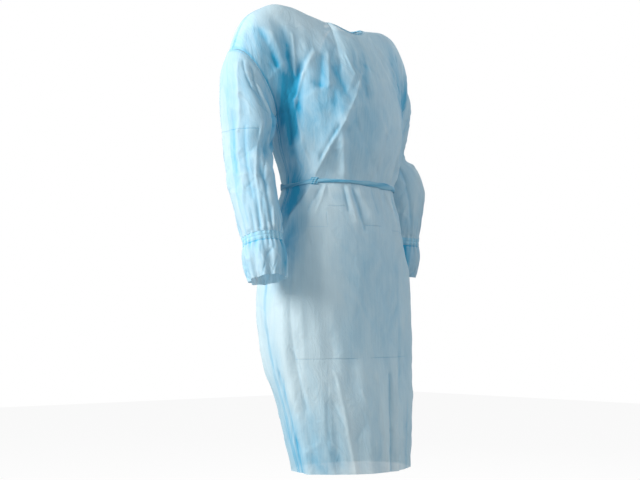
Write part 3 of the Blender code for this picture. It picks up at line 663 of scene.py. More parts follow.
# Body panels
FRONT_HALF = half_columns(38, 100)
FRONT_WAYS = np.concatenate([-FRONT_HALF[:0:-1], FRONT_HALF])
BACK_WAYS = half_columns(30, 84)
FIRST_FALL = 0.0015
FALLS = np.maximum(np.linspace(0.0, 1.0, 111) ** FALL_POWER, FIRST_FALL)
LOWER_DROPS = ARMPIT + (HEM - ARMPIT) * np.linspace(0.0, 1.0, 215)[1:]


def front_grid():
    """Front panel: its plain points, turns and drops."""
    edge = SEAM_GAP / (SIDE_SEAM * DEGREE_ARC)
    way = FRONT_WAYS * (1 - edge * (np.abs(FRONT_WAYS) > 0.999))
    ways, falls = np.meshgrid(way, FALLS)
    left = upper_cloth("left", np.abs(ways), falls, "front")
    right = upper_cloth("right", np.abs(ways), falls, "front")
    upper = np.where((ways > 0)[..., None], left, right)
    ways, drops = np.meshgrid(way, LOWER_DROPS)
    points = np.concatenate([upper, body_point(SIDE_SEAM * ways, drops)])
    turns = np.broadcast_to(SIDE_SEAM * way, points.shape[:2])
    return points, turns, -points[..., 2], np.zeros(points.shape[:2])


def lap_width(fall, drop):
    """How far a back runs past the centre, in degrees of turn."""
    return LAP_TURN * ease(fall, LAP_START, 1.0) * (0.45 + 0.55 * ease(drop, ARMPIT, WAIST)) - LAP_PART


def back_grid(side):
    """A back: its plain points, turns, drops and the lift of the lapping one."""
    sign = SIGNS[side]
    other = "right" if sign > 0 else "left"
    spread = 180.0 - SIDE_SEAM
    edge = SEAM_GAP / (spread * DEGREE_ARC)
    share = BACK_WAYS * (1 - edge * (BACK_WAYS > 0.999))
    shares, falls = np.meshgrid(share, FALLS)
    past = lap_width(falls, ARMPIT) / spread
    way = shares * (1 + past) - past
    upper = upper_cloth(side, np.abs(way), falls, "back")
    upper = np.where((way < 0)[..., None], upper_cloth(other, np.abs(way), falls, "back"), upper)
    turn_upper = 180.0 - spread * way
    shares, drops = np.meshgrid(share, LOWER_DROPS)
    past = lap_width(1.0, drops) / spread
    turn_lower = 180.0 - spread * (shares * (1 + past) - past)
    points = np.concatenate([upper, body_point(sign * turn_lower, drops)])
    turns = np.concatenate([turn_upper, turn_lower])
    falls = np.concatenate([falls, np.ones_like(shares)])
    lap = np.concatenate([lap_width(falls[: len(FALLS)], ARMPIT), lap_width(1.0, drops)])
    lift = ease(turns, 180 - lap - LAP_RAMP, 180 - lap - 2) * ease(falls, 0.05, LAP_START)
    if side == "right":
        return points, -turns, -points[..., 2], 0 * lift
    return points[:, ::-1], turns[:, ::-1], -points[:, ::-1, 2], LAP_LIFT * lift[:, ::-1]


def body_creases(seed, low_turn, high_turn):
    """Loose creases over one panel, more of them above the waist than on the skirt."""
    above = crease_rows(seed, 110, (low_turn, 0.08), (high_turn, 0.42), DEGREE_ARC)
    below = crease_rows(seed + 1, 90, (low_turn, 0.44), (high_turn, 1.10), DEGREE_ARC, lean=0.25)
    return np.concatenate([above, below])


def body_waves(points, drops):
    """The gentle waves of the body, less on the skirt and none under the waist tie or at the neck."""
    calm = (1 - 0.9 * bell((drops - WAIST) / 0.014)) * ease(drops, 0.0, 0.07)
    return gentle_waves(points) * calm * (1 - 0.3 * ease(drops, WAIST, WAIST + 0.12))


def body_panel(name, grid, seed, material):
    """A body panel: its plain points moved out along their normals by all its folds and waves."""
    points, turns, drops, lift = grid
    loose = body_creases(seed, turns.min(), turns.max())
    main, crisp, relief = crinkle((FOLDS, CRISP_FOLDS), loose, turns, drops, DEGREE_ARC)
    settle = ease(drops, 0.05, 0.13)
    crisp_settle = ease(drops, 0.02, 0.07) * (1 - 0.85 * bell((drops - WAIST) / 0.011))
    seams = near_edges(points)
    out = main * settle + crisp * crisp_settle * (1 - 0.7 * seams) + lift + body_waves(points, drops)
    points = points + grid_normals(points) * out[..., None]
    middle = int(np.argmin(np.abs(turns[-1])))
    # Seam allowances lie double; the zones add painted shade and painted highlights, with a few real gathers
    # under the tie
    layers = SEAM_DEPTH * seams + painted_shade_highlights_and_gathers(BODY_PAINTED_SHADE_HIGHLIGHTS_AND_GATHERS, turns, drops)
    places, relief = flat_places(points, middle), relief * crisp_settle
    made = cloth_piece(name, points, places, material, False, layers, relief)
    return cut_to(made)


# Painted shade on the sleeves, painted highlights on the left one, and real gathers near the wrist: angle,
# way, half angle, half way, depth, below 0 for a painted highlight
SLEEVE_PAINTED_SHADE_HIGHLIGHTS_AND_GATHERS = {
    "right": (
        (128, -0.2, 22, 0.4, 0.7),
        (142, 0.22, 19, 0.34, 0.56),
        (124, 0.72, 24, 0.3, 0.46),
        (176, 0.05, 24, 0.5, 0.55),
        (30, -0.2, 9, 0.2, 0.26),
        (24, 0.2, 66, 0.8, 0.34),
        (96, 0.86, 40, 0.1, 0.24),
        (20, 0.86, 40, 0.1, 0.24),
        (268, 0.86, 60, 0.1, 0.24),
    ),
    "left": (
        (150, -0.22, 22, 0.36, 0.6),
        (176, 0.1, 24, 0.4, 0.55),
        (70, 0.12, 30, 0.06, 0.22),
        (40, 0.34, 24, 0.12, -0.3),
        (24, 0.66, 24, 0.18, -0.3),
        (70, 0.7, 12, 0.2, 0.24),
        (120, 0.86, 50, 0.1, 0.26),
        (260, 0.86, 60, 0.1, 0.24),
    ),
}
# Painted shade on the frill's front side towards the body, and real gathers where it leaves the band: angle,
# down, half angle, half down, depth
FRILL_PAINTED_SHADE_AND_GATHERS = ((124, 0.03, 26, 0.06, 0.50), (20, 0.00, 50, 0.03, 0.20), (262, 0.00, 60, 0.03, 0.20))

# Sleeves, bands and frills
SLEEVE_SEAM = 196.0
SLEEVE_SIDES = 176
SLEEVE_HEAD_ROWS = 96
SLEEVE_ROWS = 150
WRIST_SIDES = 288
WRIST_ANGLES = np.arange(WRIST_SIDES) * (360.0 / WRIST_SIDES)


def armhole(side, angle):
    """The armhole edge of the body: 0 at the shoulder, 90 at the front, 180 at the armpit."""
    angle = np.mod(angle, 360.0)
    one = np.ones_like(angle)
    front = upper_cloth(side, one, np.clip(angle / 180.0, 0, 1) ** FALL_POWER, "front")
    back = upper_cloth(side, one, np.clip((360.0 - angle) / 180.0, 0, 1) ** FALL_POWER, "back")
    return np.where((angle <= 180.0)[..., None], front, back)


def sleeve_section(side, way):
    """Middle (x, y, drop), half breadth and half depth of the sleeve at a way along the arm."""
    row = smooth_rows(SLEEVES[side], way)
    return row[..., :3], row[..., 3], row[..., 4]


def wrist_frame(side):
    """Middle, line and half sizes of the wrist at the sleeve's end."""
    sign = SIGNS[side]
    table = np.array(SLEEVES[side][-1])
    centre = table[1:4] * (sign, 1.0, -1.0)
    target = np.array(FRILL_END[side]) * (sign, 1.0, -1.0)
    return centre, unit(target - centre), table[4], table[5], sign


def oval(centre, line, half_breadth, half_depth, sign, angle):
    """Ovals square to a line, one a row: angle 0 points away from the body and 90 to the front."""
    centre, line = np.atleast_2d(centre), np.atleast_2d(line)
    side_way = np.array([sign, 0.0, 0.0])
    out = unit(side_way - line * (line @ side_way)[:, None])
    front = np.cross(line, out)
    front = front * np.where(front[:, 1:2] < 0, 1.0, -1.0)
    turn = np.radians(angle)
    wide = np.asarray(half_breadth) * np.cos(turn)
    deep = np.asarray(half_depth) * np.sin(turn)
    return centre[:, None] + wide[..., None] * out[:, None] + deep[..., None] * front[:, None]


def sleeve_rings(side, ways, angle):
    """Rings of the sleeve's tube, one for each way, each square to the arm's line there."""
    sign = SIGNS[side]
    flip = np.array([sign, 1.0, -1.0])
    centre, breadth, depth = sleeve_section(side, ways)
    line = unit((sleeve_section(side, ways + 0.2)[0] - sleeve_section(side, ways - 0.2)[0]) * flip)
    wrist_line = wrist_frame(side)[1]
    line = unit(line + (wrist_line - line) * ease(ways, 0.75, 1.0)[:, None])
    return oval(centre * flip, line, breadth[:, None], depth[:, None], sign, angle[None, :])


def sleeve_piece(side, seed, material):
    """A sleeve: a cubic in each column from the armhole to the arm's first oval, then its ovals,
    moved out by its folds and drawn into puckers over its last part."""
    sign = SIGNS[side]
    angle = np.arange(SLEEVE_SIDES) * (360.0 / SLEEVE_SIDES)
    away = np.array(SLEEVE_LEAVE) * (sign, 1, 1)
    start = armhole(side, angle) + away * ARMHOLE_GAP
    first, second = sleeve_rings(side, np.array([0.0, 0.05]), angle)
    reach = np.linalg.norm(first - start, axis=1, keepdims=True)
    leave, arrive = unit(away) * reach, unit(second - first) * reach
    t = np.linspace(0.0, 1.0, SLEEVE_HEAD_ROWS + 1)[:-1, None, None]
    head = cubic(t, start, leave, first, arrive)
    ways = np.linspace(0.0, 1.0, SLEEVE_ROWS + 1)
    points = np.concatenate([head, sleeve_rings(side, ways, angle)])
    ways = np.concatenate([np.linspace(SLEEVE_HEAD_WAY, 0.0, SLEEVE_HEAD_ROWS + 1)[:-1], ways])
    turns = np.broadcast_to(angle, points.shape[:2])
    if sign > 0:
        points, turns = points[:, ::-1], turns[:, ::-1]
    down = np.broadcast_to((ways * SLEEVE_SPAN)[:, None], points.shape[:2])
    low, high = (0.0, SLEEVE_HEAD_WAY * SLEEVE_SPAN * 0.8), (360.0, 0.92 * SLEEVE_SPAN)
    loose = crease_rows(seed, 120, low, high, SLEEVE_ARC, sizes=(0.0026, 0.0050))
    folds = [
        [(a, u * SLEEVE_SPAN, b, v * SLEEVE_SPAN, w, h) for a, u, b, v, w, h in table[side]]
        for table in (SLEEVE_FOLDS, CRISP_SLEEVE_FOLDS)
    ]
    parts = [crinkle(folds, loose, turns + around, down, SLEEVE_ARC) for around in ROUNDS]
    main, crisp = sum(p[0] for p in parts), sum(p[1] for p in parts)
    ways = ways[:, None]
    settle = ease(ways, SLEEVE_HEAD_WAY, 0.4 * SLEEVE_HEAD_WAY) * (1 - ease(ways, 0.96, 1.0))
    crisp_settle = ease(ways, SLEEVE_HEAD_WAY, 0.9 * SLEEVE_HEAD_WAY) * (1 - ease(ways, 0.97, 1.0))
    pucker = wrist_pucker(turns, seed) * ease(ways, 0.70, 0.99) * 0.0017
    out = main * settle + (crisp + gentle_waves(points)) * crisp_settle + pucker
    points = points + closed_normals(points) * out[..., None]
    seam = 1 - ease(np.abs(turns - SLEEVE_SEAM) * SLEEVE_ARC, 0.004, 0.006)
    layers = SEAM_DEPTH * np.maximum(near_edges(points, sides=False), seam)
    # The zones add painted shade, painted highlights on the left sleeve, and real gathers near the wrist
    layers = layers + painted_shade_highlights_and_gathers(SLEEVE_PAINTED_SHADE_HIGHLIGHTS_AND_GATHERS[side], turns, ways)
    relief = np.clip(main / 0.008 + crisp * crisp_settle / 0.0045 + pucker / 0.003, -1.0, 1.0)
    flat = (turns * SLEEVE_FLAT_ARC, run_along(points, 0))
    made = cloth_piece(f"gown_sleeve_{side}", points, flat, material, True, layers, relief)
    return dressed(cut_to(made), f"sleeve_{side}")


def wrist_pucker(angle, seed):
    """Uneven puckers round the wrist, -1 to 1: a sine of the angle whose pace and size wander."""
    turn = np.radians(angle)
    wander = 0.8 * np.sin(2 * turn + seed) + 0.5 * np.sin(5 * turn + 2.1 * seed)
    size = 0.75 + 0.25 * np.sin(3 * turn + 0.7 * seed)
    return size * np.sin(22 * turn + 2.0 * wander)


def wrist_rings(side, rows):
    """Rings past the sleeve's end and their angles. Each row is its way along and its swell by angle."""
    centre, line, half_breadth, half_depth, sign = wrist_frame(side)
    along = np.array([row[0] for row in rows])[:, None]
    grow = np.array([row[1] for row in rows])
    lines = np.tile(line, (len(rows), 1))
    turns = np.broadcast_to(WRIST_ANGLES, grow.shape)
    points = oval(centre + along * line, lines, half_breadth + grow, half_depth + grow, sign, turns)
    return (points[:, ::-1], turns[:, ::-1]) if sign > 0 else (points, turns)


def band_piece(side, seed, material):
    """The elastic casing: a narrow tube drawn into puckers, domed between the stitch lines at its edges."""
    rows = []
    for share in np.linspace(0.0, 1.0, 21):
        dome = 0.0012 * np.sin(np.pi * share) ** 0.6 - 0.0010
        channel = 0.0009 * (bell((share - 0.5) / 0.10))
        pucker = wrist_pucker(WRIST_ANGLES, seed) * (0.0012 + 0.0007 * np.cos(2 * np.pi * share))
        rows.append((SEAM_GAP + share * BAND_LENGTH, dome - channel + pucker))
    points, turns = wrist_rings(side, rows)
    flat = (turns * SLEEVE_FLAT_ARC, run_along(points, 0))
    relief = 0.45 * wrist_pucker(turns, seed)
    made = cloth_piece(f"gown_wrist_band_{side}", points, flat, material, True, 0.24, relief)
    return dressed(cut_to(made), f"wrist_band_{side}")


def frill_piece(side, seed, material):
    """The free end of the sleeve: a tube whose puckers open into wide uneven waves, its edge cut."""
    shares = np.linspace(0.0, 1.0, 56)
    shape = smooth_rows(FRILL_ROWS, shares)
    turn = np.radians(WRIST_ANGLES)
    lean = 0.35 * np.sin(2 * turn + seed) + 0.22 * np.sin(4 * turn + 1.3 * seed)
    rows = []
    for share, (swell, wave) in zip(shares, shape):
        waves = np.cos(FRILL_WAVES * turn + lean) * wave
        ridge = np.sign(waves) * wave * (np.abs(waves) / max(wave, 1e-6)) ** 0.8
        pucker = wrist_pucker(WRIST_ANGLES, seed) * 0.0016 * (1 - ease(share, 0.0, 0.42))
        flutter = 0.0006 * np.sin(17 * turn + 3 * seed + 4 * share) * share
        rows.append((SEAM_GAP * 2 + BAND_LENGTH + share * FRILL_LENGTH, swell + ridge + pucker + flutter))
    points, turns = wrist_rings(side, rows)
    down = np.broadcast_to((shares * FRILL_LENGTH)[:, None], points.shape[:2])
    low, high = (0.0, 0.01), (360.0, 0.08)
    loose = crease_rows(seed + 9, 50, low, high, SLEEVE_ARC, sizes=(0.0024, 0.0040), lean=0.2)
    crisp = sum(fold_height(loose, turns + around, down, SLEEVE_ARC, peak) for around in ROUNDS)
    points = points + closed_normals(points) * (crisp * ease(down, 0.002, 0.012))[..., None]
    flat = (turns * SLEEVE_FLAT_ARC, down)
    relief = np.clip(crisp / 0.003 + 0.6 * wrist_pucker(turns, seed) * (1 - ease(down, 0.0, 0.03)), -1, 1)
    top = 1 - ease(down, 0.001, 0.004)
    # edge is painted shade on the frill's front side towards the body, with real gathers at its top
    edge = painted_shade_highlights_and_gathers(FRILL_PAINTED_SHADE_AND_GATHERS, turns, down)
    layers = 0.16 + 0.34 * top + edge
    made = cloth_piece(f"gown_wrist_frill_{side}", points, flat, material, True, layers, relief)
    return dressed(cut_to(made), f"wrist_frill_{side}")


def cut_to(made, *others):
    """Gives the sheet back as it is.
    The others are the small separate pieces on it, and they are not used.
    """
    return made


def dressed(made, *nodes):
    """The piece rides with the gown and stands for its solids, which are hidden."""
    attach(made, "root")
    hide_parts(*nodes)
    return made


# Trims
def full_turn(sides):
    """Angles round a tube, as one row."""
    return np.arange(sides)[None, :] * (2 * np.pi / sides)


def body_surface(turns, drops, out):
    """Points on the outside of the folded body, moved out by a distance."""
    points = body_point(turns, drops)
    lap = lap_width(1.0, drops)
    lift = LAP_LIFT * ease(np.abs(turns), 180 - lap - LAP_RAMP, 180 - lap - 2)
    main = fold_height(FOLDS, turns, drops, DEGREE_ARC) * ease(drops, 0.05, 0.13)
    return points + grid_normals(points) * (main + lift + out)[..., None]


def rolled_strip(middle, across, outward, half_height, half_thickness, twists):
    """A folded strip rolled on itself: flattened ovals along a path, with soft helical ridges that
    wind round it, twists times along its length."""
    along = np.linspace(0.0, 1.0, len(middle))[:, None]
    turn = full_turn(STRIP_SIDES)
    wound = turn * 2 + 2 * np.pi * twists * along
    ridge = 1.0 + 0.13 * np.sin(wound) + 0.05 * np.sin(2 * wound + 1.1)
    tall = (np.cos(turn) * ridge * half_height)[..., None] * across[:, None]
    thick = (np.sin(turn) * ridge * half_thickness)[..., None] * outward[:, None]
    return middle[:, None] + tall + thick, 0.55 * np.sin(wound)


def closed_ends(points):
    """The tube with its ends drawn in to a point, in one small round step each."""
    start, end = points[:1].mean(axis=1, keepdims=True), points[-1:].mean(axis=1, keepdims=True)
    steps = np.array(CAP_STEPS)[:, None, None]
    cap_start = start + (points[:1] - start) * steps
    cap_end = end + (points[-1:] - end) * steps[::-1]
    return np.concatenate([cap_start, points, cap_end])


def tube_piece(name, points, twist, material, layers=0.30):
    """A closed strip of folded cloth, with places along it as its UV map."""
    caps = (len(CAP_STEPS), len(CAP_STEPS))
    # The twist goes in as relief, which the material turns into painted shade and painted highlights along
    # the strip
    relief = np.pad(np.broadcast_to(twist, points.shape[:2]), (caps, (0, 0)), mode="edge")
    points = closed_ends(points)
    rounds = np.broadcast_to(np.arange(points.shape[1]) * ROUND_STEP, points.shape[:2])
    flat = (rounds, run_along(points, 0))
    return cloth_piece(name, points, flat, material, True, layers, relief)


def waist_tie_piece(material):
    """The tie round the waist: a strip twisted into a soft roll, flattest over the right front."""
    turns = np.linspace(-175.5, 175.5, 760)
    low_side = 0.0065 * bell((turns + 92) / 26) + 0.0030 * bell((turns - 95) / 30)
    drops = WAIST + low_side + 0.0012 * np.sin(np.radians(turns * 3) + 0.6)
    slim = 1 - 0.45 * bell((turns + 34) / 32) - 0.38 * bell((turns + 84) / 22)
    pinch = 1 - 0.14 * (1 + np.sin(np.radians(turns * 9) + 1.5 * np.sin(np.radians(turns * 4))))
    half_height = 0.0084 * slim * pinch
    grid_turns = np.stack([turns, turns, turns])
    grid_drops = np.stack([drops - 0.003, drops, drops + 0.003])
    surface = body_surface(grid_turns.T[:, ::-1], grid_drops.T[:, ::-1], 0.0)
    middle = surface[:, 1]
    normal = unit(middle * (1, 1, 0) - np.array([0, 0.014, 0]))
    middle = middle + normal * TIE_LIFT
    points, wound = rolled_strip(
        middle, np.tile([0.0, 0.0, 1.0], (len(turns), 1)), normal, half_height[:, None], 0.0019, 8.0
    )
    made = tube_piece("gown_waist_tie", points[::-1], wound[::-1], material)
    return dressed(made, "waist_tie")


def tie_end(name, middle, side_way, outward, material, width=TIE_WIDTH):
    """A tie's free end: a folded strip, pinched at the knot, with a lengthwise fold and a cut end."""
    count = len(middle)
    along = np.linspace(0.0, 1.0, count)[:, None]
    turn = full_turn(TIE_SIDES)
    half = 0.5 * width * (0.55 + 0.45 * ease(along, 0.0, 0.16)) * (1 - 0.06 * np.sin(9 * along + 1))
    fold = 0.00045 * np.cos(3 * turn + 2 * np.sin(5 * along)) * np.abs(np.cos(turn)) ** 0.5
    wide = (np.cos(turn) * half)[..., None] * side_way[:, None]
    thick = (np.sin(turn) * 0.0006 + fold * np.sign(np.sin(turn) + 1e-9))[..., None] * outward[:, None]
    return tube_piece(name, middle[:, None] + wide + thick, np.cos(3 * turn), material)


def back_normals(grid):
    """Normals along the middle of a strip of the back, turned to face the rear."""
    normal = grid_normals(grid)[:, 1]
    return normal * np.sign(normal[:, 1:2])


def waist_end_piece(side, material):
    """A waist tie end down the back of the skirt: it leaves the knot and comes to lie on the cloth."""
    sign = SIGNS[side]
    way = np.linspace(0.0, 1.0, 90)
    start = WAIST + WAIST_KNOT[2] + 0.0018
    drop = start + (WAIST_TIE_END[side] - WAIST) * way
    x = sign * (0.5 * (TIE_WIDTH + 0.0006) + 0.012 * way) + 0.0012 * np.sin(7 * way) * way
    half_width = smooth_rows(BODY, drop)[..., 0]
    turns = 180.0 - np.degrees(np.arcsin(x / half_width))
    out = LAP_LIFT + 0.0019 + (WAIST_KNOT[1] - 0.0012) * (1 - ease(way, 0.0, 0.4))
    spread = np.array([[-1.0, 0.0, 1.0]])
    grid = body_surface(turns[:, None] + spread, drop[:, None] + 0 * spread, 0.0)
    normal = back_normals(grid)
    plain = body_point(turns, drop)
    main = fold_height(FOLDS, turns, drop, DEGREE_ARC)
    middle = plain + normal * (main + out)[:, None]
    across = np.tile([-1.0, 0.0, 0.0], (len(way), 1))
    made = tie_end(f"gown_waist_tie_end_{side}", middle, across, normal, material)
    return dressed(cut_to(made), f"waist_tie_end_{side}")


def neck_tie_piece(side, material):
    """A neck tie down the upper back: it leaves the knot and comes to lie on the cloth."""
    fall = np.linspace(NECK_TIE_START, NECK_TIE_END[side], 80)[:, None]
    middle = NECK_TIE_WAY + NECK_TIE_SPLAY * (fall - NECK_TIE_START)
    way = middle + np.array([[0.5, 0.0, -0.5]]) * TIE_WIDTH / WAY_WIDTH
    points = upper_cloth(side, way, np.broadcast_to(fall, way.shape), "back")
    normal = back_normals(points)
    start = 1 - ease(fall, NECK_TIE_START, NECK_TIE_START + 0.2)
    out = 0.0013 + LAP_LIFT * ease(fall, 0.05, 0.25) + 0.0040 * start
    across = unit(points[:, 2] - points[:, 0]) * SIGNS[side]
    made = tie_end(f"gown_neck_tie_{side}", points[:, 1] + normal * out, across, normal, material)
    return dressed(cut_to(made), f"neck_tie_{side}")


def binding_piece(material):
    """The neck binding: a folded strip on the panels' neck edge, with soft puckers and a stitch line."""
    angle = np.linspace(-180.0 + NECK_GAP_TURN, 180.0 - NECK_GAP_TURN, 420)
    edge = neck_point(angle)
    side_way = unit(np.stack([np.sin(np.radians(angle)), -np.cos(np.radians(angle)), 0 * angle], axis=-1))
    turn_front, turn_side = np.cos(np.radians(angle)) ** 2, np.sin(np.radians(angle)) ** 2
    slope = NECK_SLOPE * turn_front - BINDING_RISE * turn_side
    down = unit(side_way + np.array([0, 0, -1.0]) * slope[..., None])
    along = unit(np.gradient(edge, axis=0))
    face = unit(np.cross(along, down))
    centre = edge - down * (0.0002 + BINDING_HALF_HEIGHT)
    turn = full_turn(STRIP_SIDES)
    ripple = 1 + 0.10 * np.sin(np.radians(angle * 37) + 1.4 * np.sin(np.radians(angle * 5)))[:, None]
    stitch = 1 - 0.22 * bell((turn - np.radians(45)) / 0.22) - 0.22 * bell((turn - np.radians(315)) / 0.22)
    tall = (np.cos(turn) * BINDING_HALF_HEIGHT * (0.94 + 0.06 * ripple))[..., None] * down[:, None]
    thick = (np.sin(turn) * BINDING_HALF_THICKNESS * ripple * stitch)[..., None] * face[:, None]
    points = (centre[:, None] + tall + thick)[:, ::-1]
    twist = np.broadcast_to((ripple - 1) * 6, points.shape[:2])
    made = tube_piece("gown_neck_binding", points, twist, material)
    return dressed(made, "neck_binding")


def knot_piece(name, centre, half_sizes, material, seed, *nodes):
    """A pulled knot of folded strip: a trefoil-like loop wound round itself, drawn flat."""
    t = np.linspace(0.0, 2 * np.pi, KNOT_RINGS + 1)[:-1]
    path = np.stack([
        (np.sin(t) + 2 * np.sin(2 * t)) / 3.0,
        np.sin(3 * t + seed) * 0.9,
        (np.cos(t) - 2 * np.cos(2 * t)) / 3.0,
    ], axis=-1)
    path = path * (np.array(half_sizes) * (0.74, 0.62, 0.74))
    forward = unit(np.roll(path, -1, axis=0) - np.roll(path, 1, axis=0))
    side_way = unit(np.cross(forward, [0.05, 1.0, 0.1]))
    up = np.cross(side_way, forward)
    turn = full_turn(KNOT_SIDES)
    size = 0.34 * min(half_sizes[0], half_sizes[2])
    flute = 1 + 0.12 * np.cos(3 * turn + 4 * t[:, None])
    ring = (np.cos(turn) * size * flute)[..., None] * side_way[:, None]
    ring = ring + (np.sin(turn) * size * 0.55 * flute)[..., None] * up[:, None]
    points = np.array(centre) + path[:, None] + ring
    faces = grid_faces(KNOT_RINGS, KNOT_SIDES, True)[0]
    near = np.arange(KNOT_SIDES)
    far, ring_start = (near + 1) % KNOT_SIDES, (KNOT_RINGS - 1) * KNOT_SIDES
    seam = np.stack([ring_start + near, near, far, ring_start + far], axis=-1)
    made = set_mesh(name, points.reshape(-1, 3), np.concatenate([faces, seam]))
    made.data.materials.append(material)
    set_values(made, (KNOT_RINGS, KNOT_SIDES), layers=0.3, relief=0.0)
    made.data.uv_layers.new(name="cloth")
    return dressed(made, *nodes)


def tack_piece(material):
    """The small folded patch that holds the tie to the front, domed and creased where it is welded."""
    turns = np.linspace(TACK_TURN - TACK_HALF_TURN, TACK_TURN + TACK_HALF_TURN, 40)
    drops = np.linspace(WAIST - TACK_HALF_HEIGHT, WAIST + TACK_HALF_HEIGHT, 40)
    turns, drops = np.meshgrid(turns, drops)
    across, down = (turns - TACK_TURN) / TACK_HALF_TURN, (drops - WAIST) / TACK_HALF_HEIGHT
    dome = 0.0048 - 0.0042 * np.maximum(np.abs(across), np.abs(down)) ** 5
    crease = 0.0005 * np.sin(8 * across + 3 * down) + 0.0004 * np.cos(11 * down - 2 * across)
    points = body_surface(turns, drops, dome + crease)
    places = (across * 0.014, down * TACK_HALF_HEIGHT)
    made = cloth_piece("gown_waist_tack", points, places, material, False, 0.3, crease / 0.0006)
    return dressed(made, "waist_tie_tack")


# Materials
class Value:
    """A number socket of a node tree. The usual signs join it to numbers and to other sockets."""

    def __init__(self, nodes, socket):
        self.nodes = nodes
        self.socket = socket

    def join(self, operation, *values):
        return self.nodes.value("ShaderNodeMath", {"operation": operation}, dict(enumerate(values)))

    def __add__(self, other):
        return self.join("ADD", self, other)

    def __radd__(self, other):
        return self.join("ADD", other, self)

    def __sub__(self, other):
        return self.join("SUBTRACT", self, other)

    def __rsub__(self, other):
        return self.join("SUBTRACT", other, self)

    def __mul__(self, other):
        return self.join("MULTIPLY", self, other)

    def __rmul__(self, other):
        return self.join("MULTIPLY", other, self)

    def __abs__(self):
        return self.join("ABSOLUTE", self)

    def low(self, other):
        return self.join("MINIMUM", self, other)

    def high(self, other):
        return self.join("MAXIMUM", self, other)

    def wave(self):
        return self.join("SINE", self)

    def step(self, low, high):
        """0 at low, 1 at high, and a smooth step between."""
        settings = {"interpolation_type": "SMOOTHSTEP"}
        return self.nodes.value("ShaderNodeMapRange", settings, {0: self, 1: low, 2: high})


class Nodes:
    """A node tree, with one method that adds any node."""

    def __init__(self, tree):
        self.tree = tree
        tree.nodes.clear()

    def add(self, kind, settings, inputs, output=0):
        """Adds a node, with its settings first and then its inputs, and gives one of its outputs."""
        node = self.tree.nodes.new(kind)
        for key, value in settings.items():
            setattr(node, key, value)
        for key, value in inputs.items():
            value = value.socket if isinstance(value, Value) else value
            if isinstance(value, bpy.types.NodeSocket):
                self.tree.links.new(value, node.inputs[key])
            else:
                node.inputs[key].default_value = value
        return node.outputs[output] if node.outputs else None

    def value(self, *details, **more):
        return Value(self, self.add(*details, **more))

    def colour(self, amount, low, high):
        """A blend of two colours by a value."""
        return self.add("ShaderNodeMix", {"data_type": "RGBA"}, {0: amount, 6: low, 7: high}, output=2)


def new_material(name):
    """An empty material and its nodes."""
    material = bpy.data.materials.new(name)
    material.use_nodes = True
    return material, Nodes(material.node_tree)


# Lines pressed into the cloth when it was packed flat: across and drop at both ends, in metres
PACK_LINES = {
    "front": (
        (-0.133, 0.492, -0.084, 0.493),
        (-0.183, 0.545, -0.133, 0.546),
        (-0.031, 0.538, 0.025, 0.538),
        (-0.23, 0.866, -0.06, 0.864),
        (-0.136, 0.507, -0.134, 0.548),
        (0.07, 0.545, 0.15, 0.546),
        (-0.03, 0.863, 0.13, 0.861),
    ),
    "back": ((0.06, 0.545, 0.14, 0.546), (0.05, 0.86, 0.12, 0.861), (-0.15, 0.24, -0.08, 0.241)),
    "sleeve": ((0.0, 0.311, 0.07, 0.312), (0.33, 0.312, 0.36, 0.312), (0.18, 0.5, 0.24, 0.501)),
    "plain": (),
}


def pressed_lines(across, drop, lines):
    """1 along each packing line and 0 away from it, with soft ends."""
    pressed = None
    for x0, y0, x1, y1 in lines:
        run, fall = x1 - x0, y1 - y0
        length = (run**2 + fall**2) ** 0.5
        off = abs((across - x0) * (fall / length) - (drop - y0) * (run / length))
        way = ((across - x0) * run + (drop - y0) * fall) * (1 / length**2)
        line = (1 - off.step(0.0003, 0.0014)) * way.step(-0.06, 0.10) * (1 - way.step(0.90, 1.06))
        pressed = line if pressed is None else pressed.high(line)
    return pressed


